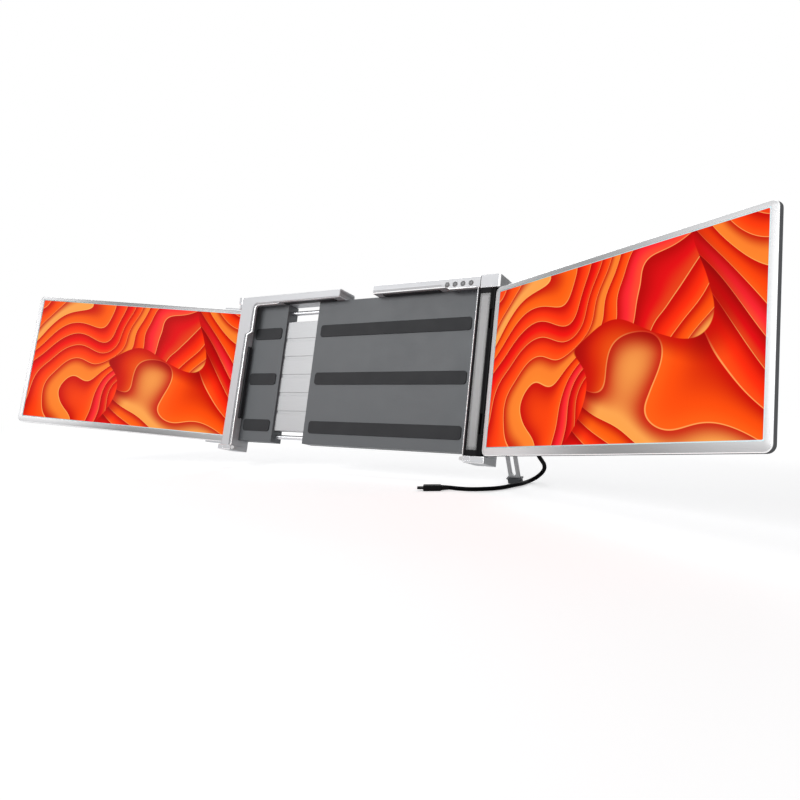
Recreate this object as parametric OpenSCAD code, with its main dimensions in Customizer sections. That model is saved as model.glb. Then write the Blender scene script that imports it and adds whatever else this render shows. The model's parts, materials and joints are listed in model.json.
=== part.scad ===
// Laptop screen extender: two side screens on a sliding frame that hangs on a laptop's lid.
// Most of it is drawn in the lid's frame: X to the right, Y to the back, Z up along the lid, with y = 0
// on the lid's back and z = 0 on its hinge line. The whole frame then leans back with the lid.

/* [Screens] */
// Visible width of each display
display_w = 310; // [290:1:330]
// Visible height of each display
display_h = 174.4; // [166:0.2:184]
// Border beside each display
side_border = 7; // [5:0.5:12]
// Border above each display
top_border = 5.8; // [5:0.2:12]
// Border below each display
bottom_border = 9.2; // [6:0.2:16]
// Thickness of a screen
screen_t = 7.6; // [7:0.1:9]
// Depth of a screen's front frame
bezel_t = 1; // [0.9:0.1:2]
// Corner radius of a screen
screen_r = 6.5; // [3:0.5:9]
// Angle that the left screen is turned toward the user
left_yaw = 24; // [0:1:90]
// Angle that the right screen is turned toward the user
right_yaw = 26; // [0:1:80]

/* [Laptop that it fits] */
// Width of the lid between the brackets
lid_w = 349; // [330:1:380]
// Thickness of the lid
lid_t = 7; // [5:0.5:9]
// Angle that the lid leans back
lean = 14; // [5:1:25]
// Height of the lid's hinge line above the desk
hinge_line_z = 15.5; // [10:0.5:25]
// Height of the screens' lower edge above the hinge line, along the lid
screen_lift = 20.2; // [18:0.2:30]

/* [Frame] */
// Thickness of the lips in front of the lid
lip_t = 4.5; // [3.5:0.5:6]
// Depth of the housings behind the lid
housing_d = 20; // [18:0.5:26]
// Wall of the brackets and housings
wall = 2; // [1.6:0.1:2.6]
// Height of the top arms
arm_h = 11.5; // [10:0.5:15]
// Length of the left arm
left_arm_l = 173; // [150:1:180]
// Width of the left bracket's upright
flange_w = 17.5; // [15:0.5:24]
// Width of the left housing behind the lid
left_housing_w = 60; // [50:1:70]
// Distance that the left half slides inward
slide_in = 50; // [30:1:60]
// Distance that the left half slides outward
slide_out = 40; // [20:1:50]
// Radius of the guide rods
rod_r = 3; // [2:0.25:4]
// Width of the right post that carries the hinge column
post_w = 25; // [24:0.5:32]

/* [Catches and buttons] */
// Height of the rounded lid catches
catch_h = 4.6; // [3.6:0.2:5]
// Radius of a button
button_r = 2.4; // [1.8:0.1:2.6]
// Distance between buttons
button_pitch = 10.4; // [8:0.1:12]
// Travel of a button
button_travel = 0.5; // [0.3:0.1:0.6]

/* [Kickstand] */
// Width of the slotted leg
leg_w = 13.4; // [10:0.2:14]
// Thickness of the leg
leg_t = 3.4; // [2.6:0.2:4]
// Width of the leg's slot
leg_slot = 5; // [3:0.2:6]
// Height of the kickstand's pin above the hinge line, along the lid
kick_z = 39; // [30:1:90]
// Angle of the leg from the vertical
leg_angle = 19.5; // [15:0.5:40]

/* [Cable] */
// Diameter of the cable
cable_d = 4.6; // [4:0.1:5]

/* [Hidden] */
$fn = 48;

// Colours
silver = [0.84, 0.86, 0.88];
pale = [0.92, 0.93, 0.95];
slate = [0.36, 0.38, 0.4];
dark = [0.1, 0.1, 0.11];
steel = [0.7, 0.71, 0.73];
rubber = [0.18, 0.18, 0.19];
board_green = [0.1, 0.35, 0.2];

// Fits and gaps
fit = 0.05;          // radial room of a pin in its hole
gap = 0.3;           // room between a piece and what it passes
fold_gap = 0.5;      // room between a folded screen and what it folds over
cut = 1;             // how far a cutter runs past a face
groove = 0.6;        // depth of a shallow groove
thin = 0.2;          // thickness of a ring that a rounded form is stretched over

// Depths: the lips stand in front of the lid, the housings behind it
lid_gap = 0.5;
lid_front_y = -lid_t;
lip_y = lid_front_y - lid_gap;
front_y = lip_y - lip_t;
pad_t = 1;
housing_y = pad_t;
floor_y = housing_y + wall;
back_y = housing_y + housing_d;
cover_t = 2.5;
cover_y = back_y - cover_t;

// Screens, drawn from their hinge-side lower corner with the glass at y = 0
screen_w = display_w + 2 * side_border;
screen_h = display_h + top_border + bottom_border;
screen_z0 = screen_lift;
screen_z1 = screen_z0 + screen_h;
shell_wall = 1.4;
bezel_lip = 0.7;
display_margin = 0.7;
panel_border = 4;
panel_t = 1.2;
backlight_t = 2.3;
board_t = 1.2;
chip_t = 0.5;
panel_y = bezel_lip;
backlight_y = panel_y + panel_t;
screen_board_y = backlight_y + backlight_t;
screen_board_w = 150;
screen_board_h = 22;
shell_floor_y = screen_t - shell_wall;

// Heights of the frame, along the lid
arm_rise = 5.4;
lip_drop = 2;
right_lip_drop = 2.5;
cap_gap = 0.6;
right_cap_h = 7.6;
top_cap_gap = 1.9;
left_cap_gap = 4.2;
left_cap_h = 6.5;
left_top_rise = 1;
housing_rise = 3.8;
seat_z = screen_z1 + arm_rise;
arm_top_z = seat_z + arm_h;
pad_bottom_z = seat_z - pad_t;
lip_z = seat_z - lip_drop;
right_lip_z = seat_z - right_lip_drop;
right_cap_z1 = screen_z0 - cap_gap;
right_cap_z0 = right_cap_z1 - right_cap_h;
right_top_z = screen_z1 + top_cap_gap;
left_cap_z1 = screen_z0 - left_cap_gap;
left_cap_z0 = left_cap_z1 - left_cap_h;
left_top_z = seat_z + left_top_rise;
housing_z0 = screen_z0 + housing_rise;
housing_z1 = seat_z - gap;

// Widths of the left half
lid_side_pad = 3.5;
left_in_x = -lid_w / 2 - lid_side_pad;
left_post_t = 6;
left_post_x = left_in_x - left_post_t;
left_out_x = left_in_x - flange_w;
barrel_r = 2.6;
barrel_gap = 0.4;
left_cap_side = 3.5;
left_axis_x = left_out_x - barrel_r - barrel_gap;
left_cap_x = left_axis_x - left_cap_side;
left_arm_x1 = left_out_x + left_arm_l;
left_lip_w = 8.5;
left_lip_l = 48;
left_lip_h = 40;
left_lip_x = left_in_x + left_lip_w;
left_lip_end_x = left_in_x + left_lip_l;
left_lip_low_z = seat_z - left_lip_h;
left_lip_step = 5;
lip_slope = 4;
lip_band = 4;
lip_recess = 0.8;
left_housing_x1 = left_in_x + left_housing_w;

// Widths of the right half
right_in_x = lid_w / 2 + lid_side_pad;
housing_room = 4;
arm_room = 2.4;
arm_seam = 0.8;
main_x0 = left_housing_x1 + slide_in + housing_room;
right_arm_x0 = left_arm_x1 + slide_in + arm_room;
right_arm_x1 = right_in_x + arm_seam;
right_out_x = right_in_x + post_w;
rim_t = 1;
rim_web_t = 1.5;
rim_x = right_in_x - 2.6;
right_step_w = 45;
right_step_x = right_in_x - right_step_w;

// Left hinge: its pins stand in front of the flat screen, so that it folds over the left bracket
left_axis_y = front_y + 3;
left_setback = left_axis_y - front_y + fold_gap;
left_inset = 7;
pin_r = 1.2;
ear_t = 2.4;
ear_l = 26;

// Right hinge: a column turns in the caps and the screen turns on the column, which lifts the folded
// right screen over the folded left one
column_r = 3.8;
column_end_r = 3;
column_axis_x = right_in_x + 3;
column_axis_y = front_y + 4.5;
glass_proud = 2.8;
stack_gap = 0.4;
link_l = column_axis_y + glass_proud - (front_y - fold_gap - screen_t - stack_gap);
right_edge = 4.1;
right_axis_x = column_axis_x + link_l;
right_glass_y = column_axis_y - glass_proud;
post_y = right_glass_y + screen_t + 1.2;
column_pin_r = 1.5;
column_pin_l = 10;
column_crown = 4;
crown_r = 40;
column_z0 = right_cap_z1 + gap;
column_z1 = right_top_z - gap;
knuckle_l = 22;
knuckle_inset = 24;
cover_inset_x = 2.4;
cover_inset_z = 6;

// Telescoping slide
tongue_grip = 99;
tongue_x0 = left_post_x + left_post_t + 2;
tongue_x1 = main_x0 + slide_out + tongue_grip;
tongue_y0 = floor_y + 1;
tongue_y1 = cover_y - 2.5;
tongue_z0 = housing_z0 + 16;
tongue_z1 = housing_z1 - 24.7;
tongue_wall = 1.5;
tongue_ribs = 5;
tongue_plain_end = 20;
rod_y = (floor_y + cover_y) / 2;
rod_low_z = housing_z0 + 8;
rod_high_z = housing_z1 - 10.7;
bush_r = rod_r + 2;
bush_l = 12;
bush_spacing = 80;
bush_far_x = main_x0 + bush_spacing;
rod_x1 = bush_far_x + bush_l + slide_out + 12;
block_r = bush_r + 1.5;
glide_l = 32;
glide_h = 10;
glide_low = 14;
glide_high = 24;

// Main board, clear of the tongue when the frame is pushed in
main_board_x0 = tongue_x1 + slide_in + 9;
main_board_x1 = right_in_x - wall - 4;
main_board_lift = 46;
main_board_h = 110;
main_board_z0 = housing_z0 + main_board_lift;
main_board_z1 = main_board_z0 + main_board_h;
main_board_t = 1.6;
main_chip_t = 1.4;
main_chip_h = 16;
main_chip_pitch = 28;
vent_w = 2.4;
vent_h = 36;
vent_pitch = 6;
vent_row_pitch = 48;
standoff_h = 4;
standoff_r = 2.5;

// Arms
arm_edge_r = wall;
plug_t = 2.5;
cap_depth_y = 13;

// Lid catches
catch_l = 18;
left_catch_t = 3.3;
right_catch_t = 1.3;
left_catch_z = (left_cap_z0 + left_cap_z1) / 2;
right_catch_z = right_cap_z1 - 3;
catch_hook = 2.4;
catch_out = lid_side_pad + catch_hook;
catch_travel = catch_hook + 0.6;
catch_tip_x = lid_w / 2 - catch_hook;
catch_skin = 0.9;
catch_room = 0.1;
left_outline_l = 20.4;
right_outline_l = 14.5;
outline_t = 0.35;
outline_w = 0.4;

// Buttons
button_x = [for (i = [0:3]) right_in_x - 42.5 + i * button_pitch];
button_z = seat_z + 3.3;
button_proud = 0.3;
button_flange = 0.8;
button_flange_t = 0.8;
button_hole_gap = 0.2;
switch_t = 0.7;
button_board_y = front_y + wall + button_flange_t + gap + button_travel + switch_t;
button_board_h = 5;

// Port on the right post
port_y = 9.4;
port_z = screen_z0 + 25;
port_long = 9;
port_short = 3.3;
port_depth = 7.5;
port_shell = 0.35;

// Plugs of the cable
plug_l = 19;
plug_wide = 11.6;
plug_thick = 6.4;
tip_long = 8.2;
tip_short = 2.4;
tip_l = 6.6;
relief_l = 9;

// Kickstand, on a bracket at the post's side, behind and above the plug
kick_pin_r = 1.8;
leg_barrel_r = 3.8;
kick_x = right_out_x + 15;
kick_y = port_y + plug_thick / 2 + leg_barrel_r + 2 * gap;
ear_plate_t = 3.4;
washer_t = 0.6;
kick_plate_t = 2.4;
kick_plate_h = 14;
kick_plate_y1 = kick_y - leg_t / 2 - gap;
kick_plate_y0 = kick_plate_y1 - kick_plate_t;
kick_plate_z0 = port_z + plug_wide / 2 + 1;
kick_plate_z1 = kick_plate_z0 + kick_plate_h;
foot_w = 18;
foot_l = 8;
foot_d = 8;
slot_start = 14;
desk_cut = 100;

// Cover screws
screw_r = 1.4;
screw_head_r = 2.6;
screw_head_t = 1.2;

// Origin: on the lid pad, in the middle of the laptop
origin_z = 110;
strip_h = 16;
strip_pitch = 64;
strip_r = 4;
desk_y = -(origin_z * sin(lean) + lid_t * cos(lean));
desk_z = -(hinge_line_z + origin_z * cos(lean) - lid_t * sin(lean));

// Cable route above the desk, from the port round the right side to the laptop's own socket
cable_sides = 10;
far_angle = 208;
port_exit = right_out_x + gap + plug_l + relief_l;
near_axis = [port_z * sin(lean) + (port_y + lid_t) * cos(lean),
             hinge_line_z + port_z * cos(lean) - (port_y + lid_t) * sin(lean)];
cable_route = [
  [237.4, 27.5, 54.2], [243.3, 29.9, 50.3], [246.9, 34.2, 44.2], [247.9, 39.7, 37.8], [247.8, 46, 32.1],
  [247.9, 53.3, 26.9], [247.5, 61.1, 20.9], [244.5, 66.3, 14.3], [237.7, 66.4, 7.2], [232.6, 61.6, 3.6],
  [230.1, 52.7, 2.4], [230, 42.8, 2.6], [228.9, 31.7, 2.9], [225.5, 20.5, 2.8], [221, 9.2, 2.5],
  [215.6, -2, 2.7], [207.4, -12.1, 3], [196.4, -16.8, 2.7], [182.8, -17.9, 2.4]
];
far_start = [171.5, -21.4, 3.3];
route = concat([[port_exit, near_axis[0], near_axis[1]]], cable_route, [far_start]);

// --- placing -------------------------------------------------------------------------------------
module in_lid_frame() rotate([-lean, 0, 0]) translate([0, 0, -origin_z]) children();
module on_desk() translate([0, desk_y, desk_z]) children();
module left_screen_frame()
  in_lid_frame() translate([left_axis_x, left_axis_y, 0]) rotate([0, 0, left_yaw]) children();
module right_screen_frame()
  in_lid_frame() translate([right_axis_x, column_axis_y, 0]) rotate([0, 0, -right_yaw]) children();
module left_screen_place()
  left_screen_frame() translate([left_inset, left_setback, screen_z0]) mirror([1, 0, 0]) children();
module right_screen_place()
  right_screen_frame() translate([right_edge, -glass_proud, screen_z0]) children();

// --- shared shapes -------------------------------------------------------------------------------
module block(x0, x1, y0, y1, z0, z1) translate([x0, y0, z0]) cube([x1 - x0, y1 - y0, z1 - z0]);
module plate(y0, y1) translate([0, y1, 0]) rotate([90, 0, 0]) linear_extrude(y1 - y0) children();
module beam(x0, x1) translate([x0, 0, 0]) rotate([90, 0, 90]) linear_extrude(x1 - x0) children();
module rounded(w, h, r) {
  translate([r, 0]) square([w - 2 * r, h]);
  translate([0, r]) square([w, h - 2 * r]);
  for (x = [r, w - r], y = [r, h - r]) translate([x, y]) circle(r);
}
module slot(w, h) {
  translate([0, w / 2]) square([w, h - w]);
  for (y = [w / 2, h - w / 2]) translate([w / 2, y]) circle(w / 2);
}
module upright_pin(x, y, z0, z1, r) translate([x, y, z0]) cylinder(h = z1 - z0, r = r);
module rod_along_x(x0, x1, y, z, r) translate([x0, y, z]) rotate([0, 90, 0]) cylinder(h = x1 - x0, r = r);
module depth_pin(x, z, y0, y1, r) translate([x, y1, z]) rotate([90, 0, 0]) cylinder(h = y1 - y0, r = r);

// --- screens: every piece is drawn once and used on both sides -----------------------------------
panel_w = display_w + 2 * panel_border;
panel_h = display_h + 2 * panel_border;
panel_x = side_border - panel_border;
panel_z = bottom_border - panel_border;

module bezel() difference() {
  plate(0, bezel_t) rounded(screen_w, screen_h, screen_r);
  block(side_border - display_margin, side_border + display_w + display_margin, -cut, bezel_t,
        bottom_border - display_margin, bottom_border + display_h + display_margin);
  block(panel_x - gap, panel_x + panel_w + gap, bezel_lip, bezel_t + cut,
        panel_z - gap, panel_z + panel_h + gap);
}
module panel() block(panel_x, panel_x + panel_w, panel_y, panel_y + panel_t, panel_z, panel_z + panel_h);
module backlight() {
  inset = 0.8;
  block(panel_x + inset, panel_x + panel_w - inset, backlight_y, backlight_y + backlight_t,
        panel_z + inset, panel_z + panel_h - inset);
}
module driver_board() {
  x0 = (screen_w - screen_board_w) / 2;
  z0 = bottom_border + 6;
  block(x0, x0 + screen_board_w, screen_board_y, screen_board_y + board_t, z0, z0 + screen_board_h);
  for (i = [0:4])
    block(x0 + 12 + i * 27, x0 + 24 + i * 27, screen_board_y + board_t,
          screen_board_y + board_t + chip_t, z0 + 5, z0 + 15);
}
// The shell's outer form: straight sides that round over to the back
module shell_form() {
  rings = [[bezel_t, screen_t - 2, 0], [screen_t - 0.8 - thin, screen_t - 0.8, 0.8],
           [screen_t - thin, screen_t, 2.6]];
  hull()
    for (ring = rings)
      for (x = [screen_r, screen_w - screen_r], z = [screen_r, screen_h - screen_r])
        depth_pin(x, z, ring[0], ring[1], screen_r - ring[2], $fn = 32);
}
screen_screws = [for (x = [14, screen_w - 14], z = [12, screen_h - 12]) [x, z]];
module rear_shell() difference() {
  shell_form();
  plate(bezel_t - cut, shell_floor_y)
    translate([shell_wall, shell_wall])
      rounded(screen_w - 2 * shell_wall, screen_h - 2 * shell_wall, screen_r - shell_wall);
  for (p = screen_screws) depth_pin(p[0], p[1], screen_t - 0.7, screen_t + cut, 2);
}
module screen_screw_set()
  for (p = screen_screws) depth_pin(p[0], p[1], screen_t - 0.7, screen_t - 0.1, 1.8);

module left_bezel() color(silver) left_screen_place() bezel();
module left_panel() color("orangered") left_screen_place() panel();
module left_backlight() color(pale) left_screen_place() backlight();
module left_driver_board() color(board_green) left_screen_place() driver_board();
module left_rear_shell() color(slate) left_screen_place() rear_shell();
module left_screen_screws() color(steel) left_screen_place() screen_screw_set();
module right_bezel() color(silver) right_screen_place() bezel();
module right_panel() color("orangered") right_screen_place() panel();
module right_backlight() color(pale) right_screen_place() backlight();
module right_driver_board() color(board_green) right_screen_place() driver_board();
module right_rear_shell() color(slate) right_screen_place() rear_shell();
module right_screen_screws() color(steel) right_screen_place() screen_screw_set();

// --- left hinge: flat ears above and below the screen, on pins in the caps -----------------------
module ear_outline() {
  circle(barrel_r);
  polygon([[-barrel_r, 0], [-barrel_r, left_setback + 1], [-ear_l, left_setback + 1],
           [-ear_l, left_setback + screen_t - 1], [left_inset - 2, left_setback + screen_t - 1],
           [left_inset - 2, left_setback + 1], [barrel_r, left_setback - 1], [barrel_r, 0]]);
}
module left_ear(z0, z1, barrel_z0, barrel_z1) difference() {
  union() {
    translate([0, 0, z0]) linear_extrude(z1 - z0) ear_outline();
    upright_pin(0, 0, barrel_z0, barrel_z1, barrel_r);
  }
  upright_pin(0, 0, barrel_z0 - cut, barrel_z1 + cut, pin_r + fit);
}
module left_hinge_ears() color(silver) left_screen_frame() {
  left_ear(screen_z1, screen_z1 + ear_t, screen_z1, left_top_z - gap);
  left_ear(screen_z0 - ear_t, screen_z0, left_cap_z1 + gap, screen_z0);
}
left_pin_spans = [[left_cap_z0 + 1.5, screen_z0 - 0.5], [screen_z1 + 0.5, arm_top_z - 2]];
module left_pins(extra) for (s = left_pin_spans)
  upright_pin(left_axis_x, left_axis_y, s[0] - extra, s[1] + extra, pin_r + extra);
module left_hinge_pins() color(steel) in_lid_frame() left_pins(0);

// --- left bracket --------------------------------------------------------------------------------
module arm_profile() translate([front_y, seat_z]) rounded(back_y - front_y, arm_h, arm_edge_r);
module arm_shell(x0, x1, open_low, open_high) difference() {
  beam(x0, x1) arm_profile();
  beam(open_low ? x0 - cut : x0 + wall, open_high ? x1 + cut : x1 - wall)
    translate([wall, wall]) translate([front_y, seat_z])
      square([back_y - front_y - 2 * wall, arm_h - 2 * wall]);
}
// The lip in front of the lid: a wide corner that steps back along the arm and down the upright.
// Its face is drawn twice, whole and then drawn back by a band, which leaves the inner edge lower
inner_r = 5;
function lip_corner(back) = [for (a = [0:15:90])
  [left_lip_x + inner_r - (inner_r + back) * cos(a), lip_z - inner_r + (inner_r + back) * sin(a)]];
module left_lip_outline(back) polygon(concat(
  [[left_out_x, left_cap_z1], [left_in_x - back, left_cap_z1],
   [left_in_x - back, left_lip_low_z - lip_slope], [left_lip_x - back, left_lip_low_z]],
  lip_corner(back),
  [[left_lip_end_x, lip_z + back], [left_lip_end_x + left_lip_step, seat_z + 0.5 + back],
   [left_lip_end_x + left_lip_step, seat_z + arm_edge_r + back],
   [left_out_x, seat_z + arm_edge_r + back]]
));
module left_bracket() color(silver) in_lid_frame() difference() {
  union() {
    arm_shell(left_out_x, left_arm_x1, false, true);
    plate(front_y, lip_y) left_lip_outline(lip_band);
    plate(front_y + lip_recess, lip_y) left_lip_outline(0);
    block(left_post_x, left_in_x, lip_y, back_y, left_cap_z1, seat_z + 0.5);
  }
  for (z = [rod_low_z, rod_high_z])
    rod_along_x(left_in_x - 3, left_in_x + cut, rod_y, z, rod_r + fit);
}
module left_top_cap() color(silver) in_lid_frame() difference() {
  block(left_cap_x, left_out_x, front_y, left_axis_y + 11, left_top_z, arm_top_z);
  left_pins(fit);
}
module left_bottom_cap() color(silver) in_lid_frame() difference() {
  block(left_cap_x, left_in_x, front_y, back_y, left_cap_z0, left_cap_z1);
  left_pins(fit);
  left_catch_place() catch_seat(left_catch_t, left_outline_l);
}
module left_arm_plug() color(dark) in_lid_frame() difference() {
  block(left_arm_x1 - plug_t, left_arm_x1, front_y + wall, back_y - wall,
        seat_z + wall, arm_top_z - wall);
  block(left_arm_x1 - groove, left_arm_x1 + cut, front_y + 2 * wall, back_y - 2 * wall,
        seat_z + 2 * wall, arm_top_z - 2 * wall);
}
// --- housings behind the lid ---------------------------------------------------------------------
module tray(x0, x1) difference() {
  block(x0, x1, housing_y, cover_y, housing_z0, housing_z1);
  block(x0 + wall, x1 - wall, floor_y, cover_y + cut, housing_z0 + wall, housing_z1 - wall);
}
module tongue_mouth(x0, x1)
  block(x0, x1, tongue_y0 - gap, tongue_y1 + gap, tongue_z0 - gap, tongue_z1 + gap);
module cover_panel(x0, x1) difference() {
  block(x0, x1, cover_y, back_y, housing_z0, housing_z1);
  // a shallow groove runs round the panel
  difference() {
    block(x0 + 5, x1 - 5, back_y - groove, back_y + cut, housing_z0 + 5, housing_z1 - 5);
    block(x0 + 6.2, x1 - 6.2, back_y - cut, back_y + 2 * cut, housing_z0 + 6.2, housing_z1 - 6.2);
  }
}
module screw_holes(places) for (p = places) {
  depth_pin(p[0], p[1], cover_y - cut, back_y + cut, screw_r + 0.1);
  depth_pin(p[0], p[1], back_y - screw_head_t - 0.1, back_y + cut, screw_head_r + 0.2);
}
module screws(places) for (p = places) {
  depth_pin(p[0], p[1], cover_y, back_y - screw_head_t, screw_r);
  difference() {
    depth_pin(p[0], p[1], back_y - screw_head_t, back_y - 0.1, screw_head_r);
    depth_pin(p[0], p[1], back_y - 0.7, back_y + cut, 1, $fn = 6);
  }
}
left_screw_places = [for (x = [left_in_x + 10, left_housing_x1 - 10],
                          z = [housing_z0 + 11, housing_z1 - 11]) [x, z]];
right_screw_places = [for (x = [main_x0 + 11, (main_x0 + right_in_x) / 2, right_in_x - 11],
                           z = [housing_z0 + 11, housing_z1 - 11]) [x, z]];

module left_housing() color(slate) in_lid_frame() difference() {
  union() {
    tray(left_in_x, left_housing_x1);
    for (z = [rod_low_z, rod_high_z])
      block(left_in_x + wall, left_in_x + wall + bush_l, floor_y, rod_y + block_r,
            z - block_r, z + block_r);
    for (z = [tongue_z0 + 20, tongue_z1 - 30])
      block(left_in_x + wall, left_housing_x1 - wall, floor_y, tongue_y0, z, z + glide_h);
  }
  tongue_mouth(left_housing_x1 - wall - cut, left_housing_x1 + cut);
  for (z = [rod_low_z, rod_high_z])
    rod_along_x(left_in_x - cut, left_housing_x1 + cut, rod_y, z, rod_r + fit);
}
module left_rear_cover() color(slate) in_lid_frame() difference() {
  cover_panel(left_in_x, left_housing_x1);
  screw_holes(left_screw_places);
}
module left_cover_screws() color(steel) in_lid_frame() screws(left_screw_places);

module main_housing() color(slate) in_lid_frame() difference() {
  union() {
    tray(main_x0, right_in_x);
    // the right arm sits on this rail
    block(right_arm_x0 + 10, right_in_x - 10, cover_y - 8, cover_y, housing_z1 - cut, seat_z);
    for (z = [rod_low_z, rod_high_z], x = [main_x0 + wall, bush_far_x])
      block(x, x + bush_l, floor_y, rod_y + block_r, z - block_r, z + block_r);
    for (x = [main_board_x0 + 4, main_board_x1 - 4], z = [main_board_z0 + 5, main_board_z1 - 5])
      depth_pin(x, z, floor_y - cut, floor_y + standoff_h, standoff_r);
  }
  tongue_mouth(main_x0 - cut, main_x0 + wall + cut);
  for (z = [rod_low_z, rod_high_z])
    rod_along_x(main_x0 - cut, bush_far_x + bush_l + cut, rod_y, z, bush_r + fit);
}
module vent_slots() {
  slots = floor((main_board_x1 - main_board_x0) / vent_pitch);
  for (row = [0:1], i = [0:slots - 1])
    translate([main_board_x0 + 2 + i * vent_pitch, 0, main_board_z0 + 10 + row * vent_row_pitch])
      plate(cover_y - cut, back_y + cut) slot(vent_w, vent_h);
}
module rear_cover() color(slate) in_lid_frame() difference() {
  cover_panel(main_x0, right_in_x);
  screw_holes(right_screw_places);
  vent_slots();
}
module cover_screws() color(steel) in_lid_frame() screws(right_screw_places);
module main_board() color(board_green) in_lid_frame() {
  y0 = floor_y + standoff_h;
  block(main_board_x0, main_board_x1, y0, y0 + main_board_t, main_board_z0, main_board_z1);
  width = main_board_x1 - main_board_x0;
  for (i = [0:2])
    translate([0, y0 + main_board_t, main_board_z0 + main_chip_h + 2 + i * main_chip_pitch])
      block(main_board_x0 + width / 4, main_board_x1 - width / 4, 0, main_chip_t, 0, main_chip_h);
}
// Three flat strips that rest on the lid, the middle one about the origin
module pad_strips(x0, x1) for (i = [-1:1])
  plate(0, housing_y) translate([x0, origin_z - strip_h / 2 + i * strip_pitch])
    rounded(x1 - x0, strip_h, strip_r);
module lid_pad() color(rubber) in_lid_frame() pad_strips(main_x0 + 8, right_in_x - 12);
module left_pads() color(rubber) in_lid_frame() {
  pad_strips(left_in_x + 6, left_housing_x1 - 6);
  block(left_lip_end_x + 8, left_arm_x1 - 12, lid_front_y, 0, pad_bottom_z, seat_z);
  block(left_in_x, left_in_x + lid_side_pad - gap, lid_front_y + 1, -1, housing_z0 + 30, seat_z - 60);
}
module right_top_pad() color(rubber) in_lid_frame()
  block(right_arm_x0 + 12, right_step_x - 10, lid_front_y, 0, pad_bottom_z, seat_z);

// --- telescoping slide ---------------------------------------------------------------------------
module slide_tongue() color(steel) in_lid_frame() difference() {
  block(tongue_x0, tongue_x1, tongue_y0, tongue_y1, tongue_z0, tongue_z1);
  block(tongue_x0 + tongue_wall, tongue_x1 + cut, tongue_y0 + tongue_wall, tongue_y1 - tongue_wall,
        tongue_z0 + tongue_wall, tongue_z1 - tongue_wall);
  pitch = (tongue_z1 - tongue_z0) / (tongue_ribs + 1);
  for (i = [1:tongue_ribs], y = [tongue_y0, tongue_y1])
    block(left_housing_x1 - wall - 2, tongue_x1 - tongue_plain_end, y - groove, y + groove,
          tongue_z0 + i * pitch - 2, tongue_z0 + i * pitch + 2);
}
module guide_rods() color(steel) in_lid_frame()
  for (z = [rod_low_z, rod_high_z]) rod_along_x(left_in_x - 3, rod_x1, rod_y, z, rod_r);
module guide_bushes() color([0.75, 0.6, 0.3]) in_lid_frame()
  for (z = [rod_low_z, rod_high_z], x = [main_x0 + wall, bush_far_x]) difference() {
    rod_along_x(x, x + bush_l, rod_y, z, bush_r);
    rod_along_x(x - cut, x + bush_l + cut, rod_y, z, rod_r + fit);
  }
module tongue_glides() color(pale) in_lid_frame()
  for (z = [tongue_z0 + glide_low, tongue_z1 - glide_high]) {
    block(main_x0 + wall, main_x0 + wall + glide_l, floor_y, tongue_y0 - 0.2, z, z + glide_h);
    block(main_x0 + wall, main_x0 + wall + glide_l, tongue_y1 + 0.2, cover_y, z, z + glide_h);
  }

// --- right bracket, caps and buttons -------------------------------------------------------------
module right_lip_outline() polygon([
  [right_step_x, seat_z + arm_edge_r], [right_step_x, seat_z + 0.5], [right_step_x + 6, right_lip_z],
  [right_arm_x1, right_lip_z], [right_arm_x1, seat_z + arm_edge_r]]);
module right_bracket() color(silver) in_lid_frame() difference() {
  union() {
    arm_shell(right_arm_x0, right_arm_x1, true, false);
    plate(front_y, lip_y) right_lip_outline();
    block(right_in_x, right_out_x, post_y, back_y, right_cap_z1, right_top_z);
    block(right_in_x, right_out_x, cap_depth_y, back_y, right_top_z - cut, arm_top_z);
    // thin rim between the lid and the hinge column
    block(rim_x, rim_x + rim_t, front_y + 1, post_y + rim_web_t, right_cap_z1, right_lip_z);
    block(rim_x, right_in_x + cut, post_y, post_y + rim_web_t, right_cap_z1, right_lip_z);
  }
  for (x = button_x)
    depth_pin(x, button_z, front_y - cut, front_y + wall + cut, button_r + button_hole_gap);
  translate([right_out_x, port_y, port_z]) port_form(port_long + 0.2, port_short + 0.2, port_depth + 0.1);
}
// A socket or plug tip: an upright oval, running inward from x = 0
module port_form(long, short, depth) {
  r = short / 2 - 0.01;
  translate([-depth, 0, 0]) rotate([90, 0, 90]) linear_extrude(depth + cut)
    translate([-short / 2, -long / 2]) rounded(short, long, r);
}
module usb_c_port() color(steel) in_lid_frame() translate([right_out_x, port_y, port_z]) difference() {
  intersection() {
    port_form(port_long, port_short, port_depth);
    block(-port_depth, 0, -port_short, port_short, -port_long, port_long);
  }
  translate([0.01, 0, 0])
    port_form(port_long - 2 * port_shell, port_short - 2 * port_shell, port_depth - 0.6);
}
module column_pin_set(extra) {
  upright_pin(column_axis_x, column_axis_y, right_cap_z1 - 4.6 - extra,
              column_z0 + column_pin_l + extra, column_pin_r + extra);
  upright_pin(column_axis_x, column_axis_y, column_z1 - column_pin_l - extra,
              right_top_z + 8 + extra, column_pin_r + extra);
}
module column_pins() color(steel) in_lid_frame() column_pin_set(0);
module right_top_cap() color(silver) in_lid_frame() difference() {
  block(right_arm_x1, right_out_x, front_y, cap_depth_y, right_top_z, arm_top_z);
  column_pin_set(fit);
}
module right_bottom_cap() color(silver) in_lid_frame() difference() {
  block(right_in_x, right_out_x, front_y, back_y, right_cap_z0, right_cap_z1);
  column_pin_set(fit);
  right_catch_place() catch_seat(right_catch_t, right_outline_l);
}
module right_arm_plug() color(dark) in_lid_frame()
  block(right_arm_x0, right_arm_x0 + plug_t, front_y + wall, back_y - wall,
        seat_z + wall, arm_top_z - wall);
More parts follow.
